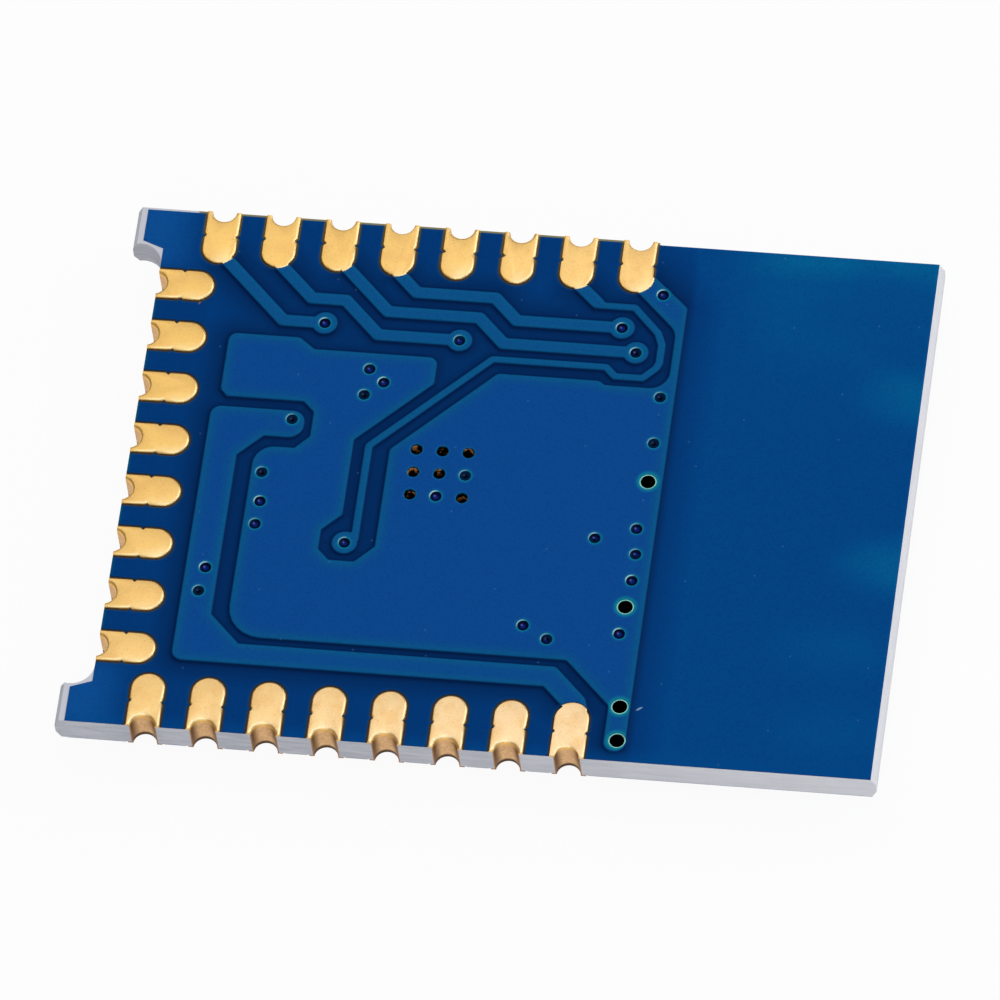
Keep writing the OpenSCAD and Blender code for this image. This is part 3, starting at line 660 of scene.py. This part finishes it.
pads = pad_tree()
nearest_pad = pads.find_nearest((0, 0, substrate_high.z / MM))[3]
print("the nearest pad is", round(nearest_pad, 2), "mm from the board's middle")

# %% Heights of the film
SHOULDER_HALF_W = 0.045
DIMPLE_DEPTH = 0.06
DIMPLE_SOFT = 0.012
LIP_W = 0.05
LIP_DROP = 0.007
OPENING_R = 0.215


def smooth(value, low, high):
    share = np.clip((value - low) / (high - low), 0, 1)
    return share * share * (3 - 2 * share)


def film_piece(name, film, rims, dimples):
    """The film as a closed mesh with round shoulders, and its distances as attributes."""
    points, fixed, rim_walls = film_points(film, rims, dimples)
    plan, faces = triangulate(points, fixed)
    faces = upright(plan, faces)
    kept, over = covered(film, plan, faces, dimples)
    faces, over = faces[kept], over[kept]
    raised = np.zeros(len(plan), bool)
    raised[faces[over]] = True
    to_copper = np.array([away(film.walls, p) for p in plan]) * np.where(raised, 1, -1)
    to_rim = np.array([away(rim_walls, p) for p in plan])
    climb = smooth(to_copper, -SHOULDER_HALF_W, SHOULDER_HALF_W)
    height = film.low + (film.high - film.low) * climb
    bowl = DIMPLE_DEPTH * (1 - (to_nearest(plan, dimples) / DIMPLE_R) ** 2)
    height -= (bowl + np.sqrt(bowl ** 2 + DIMPLE_SOFT ** 2)) / 2
    height -= LIP_DROP * (1 - smooth(to_rim, 0, LIP_W))
    inside_pads = film.base + film.side * film.low
    marks = {
        "to_copper": to_copper,
        "to_pad": np.array([pads.find_nearest((*p, inside_pads))[3] for p in plan]),
        "to_rim": to_rim,
        "to_via": to_nearest(plan, dimples) - DIMPLE_R,
        "to_open_via": to_nearest(plan, opened) - OPENING_R,
    }
    return closed_film(name, film, plan, faces, height, marks)


# %% The two films
VIA_R = 0.15


def on_circle(edge, middles, radius):
    middle = (np.array(edge[0]) + np.array(edge[1])) / 2
    return any(abs(math.dist(middle, m) - radius) < 0.02 for m in middles)


dimples = tented + closed_thermal
pad_rims = [e for e in pad_side.rims if not on_circle(e, dimples, VIA_R)]
pad_mask = film_piece("pad_side_film", pad_side, pad_rims, dimples)
component_mask = film_piece("component_side_film", component_side, component_side.rims, [])
for piece, node in ((pad_mask, "pad_side_mask"), (component_mask, "component_side_mask")):
    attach(piece, "root")
    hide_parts(node)

# %% [markdown]
# ## Blue solder mask
#
# Mask is a tinted lacquer, so its colour is set by what lies under it and by how thick it is. Over
# copper it is a clear mid blue, at a copper edge it is thin and looks teal, and in the narrow channels
# it pools and turns navy, darkest at the foot of a copper edge, where the navy is also painted shade.
# Far from copper and pads the pale laminate lifts it again. All of that follows from the distance to the
# nearest metal, so two ramps over that distance make the colour. A picture of the colours would do it
# too, but it would fix the resolution, and the distances are already on the mesh. Slopes that face −Y
# get painted shade from their normal. At the clear end no copper lies behind the board, so light from
# below would shine through; it is painted light, which lifts the blue there and in soft, speckled
# clouds, a noise limited to a few places.

# %% Mask colours
SHOULDER_W = 0.04
COPPER_FADE = 0.4
BARE_FADE = 1.5
PAD_POOL = 0.55
CLEAR_END_PAINTED_LIGHT = 0.5
CLEAR_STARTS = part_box("ground_pour")[1].x / MM


def mask_tint(finish, place):
    """The lacquer's colour over copper and over bare laminate, with painted shade at the foot of copper
    edges and on slopes that face −Y.
    """
    inside = finish.attribute("to_copper") - SHOULDER_W
    over_copper = finish.node("ValToRGB", {"stops": [
        (0.0, (10, 90, 142)),
        (0.2, (10, 86, 142)),
        (0.38, (10, 80, 144)),
        (0.75, (11, 75, 148)),
    ]}, {0: inside / COPPER_FADE})
    from_metal = (inside * -1).math("MINIMUM", finish.attribute("to_pad") + PAD_POOL)
    # painted light: the bare film is lifted lighter at the clear end, where light from below would come
    # through the board
    from_metal = from_metal + place.axis("X").rise(CLEAR_STARTS, CLEAR_STARTS + 0.25) * CLEAR_END_PAINTED_LIGHT
    # the darkest navy at the foot of a copper edge is partly pooled mask and partly painted shade
    bare = finish.node("ValToRGB", {"stops": [
        (0.0, (0, 31, 77)),
        (0.08, (0, 43, 95)),
        (0.16, (0, 48, 103)),
        (0.5, (0, 59, 123)),
        (1.0, (0, 71, 137)),
    ]}, {0: from_metal / BARE_FADE})
    tint = finish.mix(inside.rise(-0.035, 0.015), bare, over_copper)
    # painted shade: slopes of the film that face −Y are darkened towards navy
    facing = finish.node("NewGeometry", out=1).axis("Y")
    return finish.mix((facing * -1).rise(0.05, 0.35) * 0.35, tint, (0, 20, 58))


print("clear end starts at", round(CLEAR_STARTS, 2), "mm")

# %% Painted light through the clear end
PAD_SIDE_TOP = pad_side.base + pad_side.low
BACKLIGHT_X = (4.2, 6.4)
BACKLIGHT_Y = (1.5, 6.5)
BACKLIGHT_EDGE = (6.45, 7.25)
PATCH_SIZE = (2.2, 1.2)
BACKLIT_PATCHES = (((10.1, 3.4), 1.3), ((10.1, -1.4), 1.4), ((8.7, -3.9), 0.45), ((8.9, -6.2), 0.4))


def spot(finish, place, middle, turn, half_l, half_w, core=0.6):
    """1 in the core of an oval and 0 outside it."""
    moved = finish.node("Mapping", {"vector_type": "TEXTURE"}, {
        "Vector": place,
        "Location": (*middle, PAD_SIDE_TOP),
        "Rotation": (0, 0, math.radians(turn)),
        "Scale": (half_l, half_w, 1),
    })
    return 1 - finish.node("VectorMath", {"operation": "LENGTH"}, {0: moved}, out=1).rise(core, 1.0)


def painted_backlight(finish, place):
    """Painted light of the clear end: pale, speckled clouds where light from below comes through, as the
    far side has no copper.
    """
    cloud = finish.noise(finish.stretched(place, 0.28, 0.5, 1), 1.0, 4.0, 0.55).rise(0.36, 0.7)
    speckle = finish.noise(place, 26.0, 2.0, 0.7).rise(0.3, 0.75)
    x, y = place.axis("X"), place.axis("Y")
    where = x.rise(*BACKLIGHT_X) * (y.rise(*BACKLIGHT_Y) * 0.4 + y.rise(*BACKLIGHT_EDGE) * 0.85)
    for middle, share in BACKLIT_PATCHES:
        where = where + spot(finish, place, middle, 0, *PATCH_SIZE, 0.1) * share
    return where * (0.5 + 0.5 * cloud) * (0.6 + 0.4 * speckle)


print(len(BACKLIT_PATCHES), "pale patches")

# %% [markdown]
# ## Small marks in the mask
#
# Where the mask closes a via it hangs in the barrel as a shiny dimple: a teal ring round it, a dark
# slope of pooled mask with painted shade, a paler middle that is a painted reflection of the sky, and
# painted highlights in the bowl and on its rim. No two are alike, and a few have a pinhole. A handful of
# dust specks, one pale scratch near the tail and a brown blemish beside a corner pad are worn into the
# film. The dimples' bowls are on the mesh already and the other marks have no height to speak of, so
# all of them are painted by their distances.

# %% Dimples and marks
SCRATCH = (4.16, -5.93)
BLEMISH = (-8.22, 4.78)


def dimple_tint(finish, place, tint):
    """Paints the closed vias, with painted shade, a painted reflection and painted highlights, and gives
    the weight of their gloss.
    """
    via = finish.attribute("to_via")
    tint = finish.mix((1 - via.rise(0.0, 0.09)) * 0.45, tint, (8, 112, 150))
    hollow = 1 - via.rise(-0.03, -0.005)
    middle = 1 - via.rise(-0.15, -0.06)
    kind = finish.noise(place, 1.3, 0.0)
    pinhole = 1 - kind.rise(0.46, 0.5)
    # the paler middle is a painted reflection of the sky, black where there is a pinhole
    floor_tint = finish.mix(pinhole, (10, 36, 118), (0, 0, 5))
    # the slope is dark: partly pooled mask, partly painted shade
    slope_tint = finish.mix(pinhole, (0, 9, 40), (0, 30, 62))
    tint = finish.mix(hollow, tint, finish.mix(middle, slope_tint, floor_tint))
    slope = finish.node("NewGeometry", out=1)
    lean = (slope.axis("X") - slope.axis("Y")) * 0.7
    aside = abs(slope.axis("X") + slope.axis("Y")) * 0.7
    # painted highlight: a spot in the bowl where its surface leans towards +X and −Y
    painted_gleam = lean.rise(0.06, 0.2) * (1 - lean.rise(0.22, 0.36)) * (1 - aside.rise(0.02, 0.16))
    painted_gleam = painted_gleam * hollow * (1 - pinhole * 0.6)
    tint = finish.mix(painted_gleam * 0.6, tint, (104, 108, 190))
    rim = via.rise(-0.03, -0.012) * (1 - via.rise(0.0, 0.02))
    tint = finish.mix(rim * 0.6, tint, (20, 136, 166))
    # painted highlight: a pale crescent on the rim where its surface leans towards +X and −Y
    lit = rim * lean.rise(0.12, 0.4) * (0.4 + 0.6 * kind.rise(0.45, 0.6))
    tint = finish.mix(lit * 0.75, tint, (190, 236, 242))
    return tint, painted_gleam * 0.2 + lit * 0.2


def worn_tint(finish, place, tint):
    """Dust specks, the scratch and the blemish."""
    plan = finish.stretched(place, 1, 1, 0)
    dust = finish.node("TexVoronoi", {"voronoi_dimensions": "2D"}, {"Vector": plan, "Scale": 0.45})
    tint = finish.mix((1 - dust.rise(0.006, 0.016)) * 0.14, tint, (110, 160, 200))
    tint = finish.mix(spot(finish, place, SCRATCH, 35, 0.11, 0.03) * 0.7, tint, (150, 176, 206))
    return finish.mix(spot(finish, place, BLEMISH, 80, 0.08, 0.035) * 0.7, tint, (150, 104, 70))


print("scratch at", SCRATCH, "and blemish at", BLEMISH, "mm")

# %% [markdown]
# ## The whole blue finish
#
# Base colour and clouds come first, and what happens at the film's edges lies over them: the ears are
# thinner and paler, the film glows teal where it thins out round an open via, and it is lighter where
# the saw cut it. A distance on the mesh or a box of the model tells where each edge is. The dimples come
# last. The film is nearly matt, so gloss is kept for the dimples.

# %% Edges of the mask
CUT_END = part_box("terminal_9")[0].x / MM
EARS_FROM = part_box("terminal_9")[1].y / MM
NEAR_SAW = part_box("terminal_17")[0].y / MM
THERMAL_MIDDLE = tuple(np.mean(thermal, axis=0))
THERMAL_REACH = 1.6


def edge_tint(finish, place, off_middle, tint):
    """Paints the film's lips, its vias' rims and the edges that the saw left."""
    lip = 1 - finish.attribute("to_rim").rise(0.0, 0.07)
    tint = finish.mix(lip * 0.2, tint, (20, 88, 156))
    over = (finish.attribute("to_copper") - SHOULDER_W).rise(-0.02, 0.02)
    glow = 1 - finish.attribute("to_open_via").rise(0.0, 0.13)
    tint = finish.mix(glow * over * 0.75, tint, (10, 136, 152))
    # round the thermal vias the film's rim is teal: partly thin film, partly painted light scattered in
    # the film's edge
    thin = spot(finish, place, THERMAL_MIDDLE, 0, THERMAL_REACH, THERMAL_REACH, 0.9)
    thin = thin * (1 - finish.attribute("to_rim").rise(0.0, 0.06))
    tint = finish.mix(thin * 0.4, tint, (12, 116, 150))
    near_saw = 1 - place.axis("Y").rise(NEAR_SAW, NEAR_SAW + 0.45)
    tint = finish.mix(near_saw * 0.45, tint, (0, 74, 142))
    at_end = 1 - place.axis("X").rise(CUT_END, CUT_END + 0.1)
    at_end = at_end * (1 - off_middle.rise(EARS_FROM, EARS_FROM + 0.15))
    return finish.mix(at_end * 0.55, tint, (0, 92, 112))


print("castellated end at", round(CUT_END, 2), "mm, ears from", round(EARS_FROM, 2), "mm")

# %% Mask finish
def mask_finish():
    finish = Finish("blue_solder_mask", Specular_IOR_Level=0.015, Coat_Roughness=0.16, Coat_IOR=1.6)
    place = finish.place()
    tint = mask_tint(finish, place)
    # painted light from below, in speckled clouds at the clear end
    tint = finish.mix(painted_backlight(finish, place), tint, (0, 102, 154))
    off_middle = abs(place.axis("Y"))
    on_ears = off_middle.rise(EARS_FROM - 0.4, EARS_FROM + 0.4)
    on_ears = on_ears * (1 - place.axis("X").rise(CUT_END - 0.2, CUT_END + 1.3))
    tint = finish.mix(on_ears * 0.75, tint, (14, 84, 157))
    grain = finish.noise(place, 18.0, 3.0, 0.65)
    tint = finish.mix(grain.rise(0.42, 0.8) * 0.3, tint, (0, 36, 96))
    tint = edge_tint(finish, place, off_middle, tint)
    tint = worn_tint(finish, place, tint)
    tint, gloss = dimple_tint(finish, place, tint)
    roughness = 0.34 + 0.16 * finish.noise(place, 5.0)
    finish.set(Base_Color=tint, Roughness=roughness, Coat_Weight=gloss)
    finish.bump(grain, 0.2, 0.012 * MM)
    return finish.material


blue = mask_finish()
for piece in (pad_mask, component_mask):
    piece.data.materials.append(blue)
print("mask finish with", len(blue.node_tree.nodes), "nodes")

# %% [markdown]
# ## Rounded copies of the solids
#
# No real edge is sharp: moulded, etched and plated edges are all a little round, and the line of light
# on them is what makes a small part look real. Rounding the solids by hand would be slow. A Bevel
# modifier rounds a copy of each, and a weight on every edge says how much. A corner without a weight
# was sawn, so it is marked sharp, or the shading would run round it.

# %% Softened copies
SHARP = math.radians(35)
FLAT_ANGLE = math.radians(1)


def softened(node, width, weight, slot, material):
    """A copy of a solid with rounded edges. weight gives each edge's share of the width."""
    source = bmesh.new()
    source.from_mesh(nodes[node].data)
    bmesh.ops.remove_doubles(source, verts=source.verts, dist=1e-7)
    bmesh.ops.dissolve_limit(source, angle_limit=FLAT_ANGLE, verts=source.verts, edges=source.edges)
    corners = [e.calc_face_angle(0) > SHARP for e in source.edges]
    shares = [weight(e) if corner else 0 for e, corner in zip(source.edges, corners)]
    for edge, corner, share in zip(source.edges, corners, shares):
        edge.smooth = share > 0 or not corner
    mesh = bpy.data.meshes.new("soft_" + node)
    source.to_mesh(mesh)
    source.free()
    mesh.attributes.new("bevel_weight_edge", "FLOAT", "EDGE").data.foreach_set("value", shares)
    mesh.shade_smooth()
    mesh.materials.append(material)
    piece = bpy.data.objects.new("soft_" + node, mesh)
    bpy.context.collection.objects.link(piece)
    bevel = piece.modifiers.new("round", "BEVEL")
    bevel.limit_method = "WEIGHT"
    bevel.width = width * MM
    bevel.segments = 3
    bevel.harden_normals = True
    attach(piece, "root")
    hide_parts(node)
    return piece


def every_edge(edge):
    return 1


print("corners over", round(math.degrees(SHARP)), "degrees can be rounded")

# %% [markdown]
# ## Gold pads
#
# Each terminal is a pad on both faces joined by half of a plated hole, gold over nickel. The gold is
# satin and a little blotchy, because its nickel is, with fine brown pits. The edges of the pad and the
# lip of the hole are round: where they begin to lean towards +X and −Y they get a pale painted
# highlight, and where they are steep they are painted amber. The modifier rounds their outline, but its
# strips are few. A Bevel node gives a finer normal, which shades the lip and tells how much it leans.

# %% Gold of the pads
PAD_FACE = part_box("terminal_1")[1].z / MM
EDGE_ROUND = 0.08
PALER_ALONG = (-11.0, 8.0)
FAR_ROW = (5.0, 6.2)


def pad_gold(finish, place, grit):
    """The colour of the pads and their round edges, with a painted highlight on the edges that lean
    towards +X and −Y, and the normal of those edges.
    """
    cloud = finish.noise(place, 2.4, 3.0)
    pits = finish.noise(place, 34.0, 1.0).rise(0.66, 0.74)
    along = (place.axis("X") - place.axis("Y") * 0.6).rise(*PALER_ALONG)
    face = finish.mix(along, (241, 197, 114), (253, 220, 171))
    face = finish.mix(place.axis("Y").rise(*FAR_ROW) * 0.5, face, (255, 210, 124))
    face = finish.mix(cloud.rise(0.38, 0.72) * 0.5, face, (236, 186, 112))
    face = finish.mix(grit.rise(0.54, 0.78) * 0.4, face, (208, 158, 88))
    face = finish.mix(pits * 0.5, face, (150, 104, 56))
    rounded = finish.node("Bevel", {"samples": 6}, {"Radius": EDGE_ROUND * MM})
    lean = rounded.axis("X") - rounded.axis("Y") * 0.6
    level = abs(rounded.axis("Z"))
    face = finish.mix((1 - level.rise(0.6, 0.88)) * 0.85, face, (255, 196, 92))
    # painted highlight: a pale band on edges that lean towards +X and −Y
    face = finish.mix(lean.rise(0.06, 0.34) * level.rise(0.74, 0.92) * 0.85, face, (255, 247, 200))
    slope = finish.node("NewGeometry", out=1)
    toward_light = {0: lean.rise(-0.12, 0.08), 4: slope, 5: rounded}
    return face, finish.node("Mix", {"data_type": "VECTOR"}, toward_light, out=1)


print("pad face at", round(PAD_FACE, 3), "mm")

# %% [markdown]
# ## The plated bores
#
# Half a drilled hole is left in each edge. Its plating follows the drill's marks, so it is rougher
# than the pads and tan. It is amber under the lip, painted brown down both sides and dark at its far
# end as painted shade, and copper shows where the saw cut through it. The colours follow from height
# and slope alone, so one material serves pads and bores, and the plating stays one piece as it is on the
# board.

# %% Gold of the bores
BORE_STARTS = PAD_FACE - 0.025
BORE_ENDS = substrate_low.z / MM
ROWS_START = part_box("terminal_1")[0].x / MM
SAWN_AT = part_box("terminal_1")[1].y / MM


def bore_gold(finish, place):
    """The colour of the half-holes, with painted shade down their sides and at their far end, and where
    it takes over from the pad's.
    """
    height = place.axis("Z")
    pores = finish.noise(place, 12.0, 3.0, 0.6).rise(0.3, 0.7)
    bore = finish.mix(pores, (212, 170, 122), (234, 194, 146))
    bore = finish.mix(height.rise(BORE_STARTS - 0.16, BORE_STARTS) * 0.8, bore, (255, 206, 124))
    # painted shade: the bore is darker at its far end
    bore = finish.mix(1 - height.rise(BORE_ENDS + 0.03, BORE_ENDS + 0.13), bore, (84, 58, 36))
    slope = finish.node("NewGeometry", out=1)
    aside = abs(slope.axis("X")).rise(0.4, 1.0)
    aside = aside * place.axis("X").rise(ROWS_START - 0.1, ROWS_START)
    # painted shade: the bore is brown where it turns sideways, down both sides
    bore = finish.mix(aside * 0.85, bore, (104, 70, 42))
    sawn = abs(place.axis("Y")).rise(SAWN_AT - 0.012, SAWN_AT - 0.004)
    bore = finish.mix(sawn, bore, (176, 128, 80))
    upright = 1 - abs(slope.axis("Z")).rise(0.6, 0.9)
    return bore, upright * (1 - height.rise(BORE_STARTS - 0.05, BORE_STARTS))


def gold_finish():
    finish = Finish("satin_gold", Metallic=1.0)
    place = finish.place()
    grit = finish.noise(place, 24.0, 3.0, 0.7)
    face, rounded = pad_gold(finish, place, grit)
    bore, deep = bore_gold(finish, place)
    finish.set(Base_Color=finish.mix(deep, face, bore), Roughness=0.34 + 0.16 * grit + deep * 0.15)
    finish.bump(grit, 0.2, 0.012 * MM, rounded)
    return finish.material


gold = gold_finish()
print("gold with", len(gold.node_tree.nodes), "nodes")

# %% [markdown]
# ## The terminals
#
# The lip of each half-hole is rounder than the pad's etched outline, and the edges that were sawn are
# not round at all. A solid's edges have no names, so each edge is judged by where it lies: near the
# hole, on the plane of the cut, or on the face.

# %% Terminals
PER_SIDE = 8
MOUTH_ROUND = 0.08
OUTLINE_SHARE = 0.52
MOUTH_REACH = 0.35


def outer_middle(number):
    """The middle of a terminal's outer end, where its half-hole is, in millimetres."""
    low, high = (np.array(corner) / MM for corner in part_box(f"terminal_{number}"))
    middle = (low + high) / 2
    row = (number - 1) // PER_SIDE
    return [(middle[0], high[1]), (low[0], middle[1]), (middle[0], low[1])][row]


def pad_weight(number):
    """Full rounding at the hole's mouth, less along the outline, none on the cut or below the face."""
    hole = outer_middle(number)
    across = 0 if (number - 1) // PER_SIDE == 1 else 1

    def weight(edge):
        a, b = (np.array(v.co) / MM for v in edge.verts)
        cut = abs(a[across] - hole[across]) + abs(b[across] - hole[across]) < 2 * LEVEL_TOL
        if cut or min(a[2], b[2]) < PAD_FACE - LEVEL_TOL:
            return 0
        return 1 if math.dist((a + b)[:2] / 2, hole) < MOUTH_REACH else OUTLINE_SHARE

    return weight


terminals = [
    softened(f"terminal_{k}", MOUTH_ROUND, pad_weight(k), "gold_plating", gold)
    for k in range(1, 3 * PER_SIDE + 1)
]
print(len(terminals), "gold terminals")

# %% [markdown]
# ## Laminate
#
# The board is woven glass in epoxy. Where it was sawn or milled, the cut glass is a pale grey, clouded
# and streaked along the layers of cloth, and painted paler towards +X as painted light. On its face, in
# the thin gaps that the mask leaves round the pads, it is a dark olive brown, and on the break-off ears
# it was scuffed grey. Cut and face could be two materials on separate faces, but the true normal tells
# them apart, and the solid stays as it is.

# %% Laminate finish
EAR_END = outer_middle(1)[0] - 0.6
EAR_STARTS = outer_middle(PER_SIDE + 1)[1] + 0.5
EDGE_STRIP = substrate_high.y / MM - 0.07
CUT_PAINTED_LIGHTER = (-4.0, 9.0)
PALER_GAPS = (5.9, 7.0)


def laminate_finish():
    finish = Finish("glass_epoxy", Specular_IOR_Level=0.3)
    place = finish.place()
    layers = finish.noise(finish.stretched(place, 0.8, 0.8, 7), 1.0, 4.0, 0.6)
    cut = finish.mix(layers.rise(0.3, 0.7), (186, 189, 199), (212, 213, 220))
    fleck = finish.noise(finish.stretched(place, 7, 7, 16), 1.0, 2.0)
    cut = finish.mix(fleck.rise(0.6, 0.8) * 0.45, cut, (172, 176, 190))
    x, y = place.axis("X"), place.axis("Y")
    # painted light: the cut glass is paler towards +X
    cut = finish.mix(x.rise(*CUT_PAINTED_LIGHTER) * 0.6, cut, (246, 247, 251))
    gap = finish.mix(y.rise(*PALER_GAPS), (50, 40, 26), (84, 74, 46))
    gap = finish.mix(y.rise(EDGE_STRIP, EDGE_STRIP + 0.02), gap, (132, 126, 88))
    ear = (1 - x.rise(EAR_END - 0.1, EAR_END)) * abs(y).rise(EAR_STARTS, EAR_STARTS + 0.05)
    face = finish.mix(ear, gap, (204, 206, 216))
    facing = abs(finish.node("NewGeometry", out=3).axis("Z"))
    finish.set(Base_Color=finish.mix(facing.rise(0.95, 0.99), cut, face), Roughness=0.62)
    finish.bump(layers + fleck * 0.5, 0.35, 0.02 * MM)
    return finish.material


def dress(node, material):
    """Gives a solid of the model a new material."""
    nodes[node].data.materials.clear()
    nodes[node].data.materials.append(material)


dress("substrate", laminate_finish())
print("laminate, ears end at", round(EAR_END, 2), "mm")

# %% [markdown]
# ## Copper and plated barrels
#
# The tracks and pours lie under the mask, so their copper only shows where a section is cut. The
# barrels show through the open vias: a thin bright rim, and a bore painted dark within a hair's
# breadth, as painted shade for the light that can't come up from the component side. Under the chip
# the painted shade comes on more slowly, and a noise leaves a few brown patches of wall less dark,
# which the lamps light as glints. Traced light alone would give a hole of one even tone, so the noise
# breaks it up.

# %% Copper and barrel finishes
def copper_finish():
    finish = Finish("bare_copper", Metallic=1.0)
    cloud = finish.noise(finish.place(), 4.0, 3.0)
    finish.set(Base_Color=finish.mix(cloud, (150, 88, 48), (196, 128, 76)), Roughness=0.4 + 0.2 * cloud)
    return finish.material


def barrel_finish(name, rim, wall, fade):
    """A plated barrel: its rim, its wall just inside, and painted shade below that, lighter in a few
    patches.
    """
    finish = Finish(name, Specular_IOR_Level=0.0)
    place = finish.place()
    depth = PAD_FACE - place.axis("Z")
    # painted shade: the wall darkens with depth in the hole
    dark = depth.rise(0.02, fade)
    streak = finish.noise(finish.stretched(place, 20, 20, 3), 1.0, 3.0)
    glint = finish.noise(finish.stretched(place, 5, 5, 5), 1.0, 1.0).rise(0.5, 0.6)
    inside = finish.mix(dark, wall, (6, 5, 5))
    # painted shade: outside the glint patches the wall is painted near-black; the patches are diffuse,
    # so the lamps light them
    inside = finish.mix(1 - glint * streak.rise(0.3, 0.5), inside, (8, 5, 4))
    finish.set(
        Base_Color=finish.mix(depth.rise(0.002, 0.01), rim, inside),
        Metallic=(1 - dark) * (1 - glint),
        Roughness=0.3 + 0.3 * streak,
    )
    return finish.material


copper = copper_finish()
under_mask = ["ground_pour", "power_pour", "control_track", "component_copper", "antenna_trace"]
under_mask += [f"signal_track_{k}" for k in range(1, 5)]
for node in under_mask + ["tented_vias"]:
    dress(node, copper)
dress("open_vias", barrel_finish("open_barrel", (136, 204, 194), (40, 44, 36), 0.05))
dress("thermal_vias", barrel_finish("thermal_barrel", (96, 72, 44), (255, 176, 104), 0.5))
print(len(under_mask), "copper shapes under the mask")

# %% [markdown]
# ## Parts underneath
#
# The radio chip is a matt black moulding with tinned leads. The crystals are dark ceramic bases with
# brushed metal lids. The chip parts are ceramic bricks whose two ends are dipped in tin, so one finish
# serves them all: it measures how far a point is from the nearer end and changes there.

# %% Finishes of the parts
CAP_SHARE = 0.22


def moulding_finish(name, dark, light, roughness):
    finish = Finish(name, Specular_IOR_Level=0.4)
    grain = finish.noise(finish.place(), 30.0, 3.0, 0.7)
    finish.set(Base_Color=finish.mix(grain, dark, light), Roughness=roughness + 0.2 * grain)
    finish.bump(grain, 0.35, 0.012 * MM)
    return finish.material


def metal_finish(name, dark, light, roughness, stretch):
    """A bare metal whose blotches are stretched by the way it was rolled or brushed."""
    finish = Finish(name, Metallic=1.0)
    cloud = finish.noise(finish.stretched(finish.place(), *stretch), 1.0, 3.0)
    finish.set(Base_Color=finish.mix(cloud, dark, light), Roughness=roughness + 0.2 * cloud)
    finish.bump(cloud, 0.2, 0.01 * MM)
    return finish.material


def brick_finish(name, along, dark, light, face=None):
    """A chip part with tinned ends along one axis, and a glazed face underneath if one is given."""
    finish = Finish(name, Specular_IOR_Level=0.5)
    place = finish.place()
    share = finish.node("TexCoord", out=0).axis(along)
    from_end = 0.5 - abs(share - 0.5)
    capped = 1 - from_end.rise(CAP_SHARE - 0.01, CAP_SHARE + 0.01)
    grain = finish.noise(place, 14.0, 3.0, 0.6)
    body = finish.mix(grain, dark, light)
    if face:
        down = finish.node("NewGeometry", out=1).axis("Z") * -1
        body = finish.mix(down.rise(0.5, 0.8), body, face)
    tinned = finish.mix(grain, (168, 170, 174), (220, 221, 224))
    finish.set(
        Base_Color=finish.mix(capped, body, tinned), Metallic=capped, Roughness=0.3 + 0.25 * grain
    )
    finish.bump(grain, 0.2, 0.01 * MM)
    return finish.material


print("tin covers", round(2 * CAP_SHARE * 100), "percent of a chip part")

# %% Chip, crystals and solder
MOULD_ROUND = 0.04
tin = metal_finish("matt_tin", (168, 170, 174), (216, 217, 221), 0.3, (9, 9, 9))
solder = metal_finish("reflowed_solder", (176, 178, 182), (226, 227, 230), 0.16, (5, 5, 5))
lid = metal_finish("brushed_lid", (178, 174, 162), (214, 210, 198), 0.28, (2, 30, 2))
black = moulding_finish("black_moulding", (24, 24, 26), (42, 42, 45), 0.5)
ceramic = moulding_finish("crystal_ceramic", (64, 58, 52), (92, 84, 76), 0.45)
chip_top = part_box("radio_chip_body")[1].z / MM


def away_from_board(edge):
    """Rounds the chip's outer edges and leaves the recesses of its leads sharp."""
    return 1 if max(v.co.z for v in edge.verts) / MM < chip_top / 2 else 0


softened("radio_chip_body", MOULD_ROUND, away_from_board, "moulded_package", black)
dress("radio_chip_leads", tin)
dress("solder_joints", solder)
for crystal in ("main_crystal", "clock_crystal"):
    softened(crystal + "_base", MOULD_ROUND, every_edge, "crystal_ceramic", ceramic)
    softened(crystal + "_lid", MOULD_ROUND, every_edge, "crystal_lid", lid)
print("chip and two crystals")

# %% Chip parts
BRICK_ROUND = 0.025
KINDS = {
    "capacitor": ("capacitor_ceramic", (150, 112, 78), (182, 142, 104), None),
    "resistor": ("resistor_body", (214, 212, 206), (232, 230, 226), (18, 18, 20)),
    "inductor": ("inductor_ceramic", (150, 156, 160), (186, 190, 194), None),
}
bricks = {}
for node in sorted(n for n in nodes if n.split("_")[0] in KINDS):
    slot, dark, light, face = KINDS[node.split("_")[0]]
    low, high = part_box(node)
    along = "X" if high.x - low.x > high.y - low.y else "Y"
    if (slot, along) not in bricks:
        bricks[slot, along] = brick_finish(f"{slot}_{along}", along, dark, light, face)
    softened(node, BRICK_ROUND, every_edge, slot, bricks[slot, along])
print(len(bricks), "finishes on the chip parts")

# %% [markdown]
# ## The end
#

# %% The end
print("the scene is done")
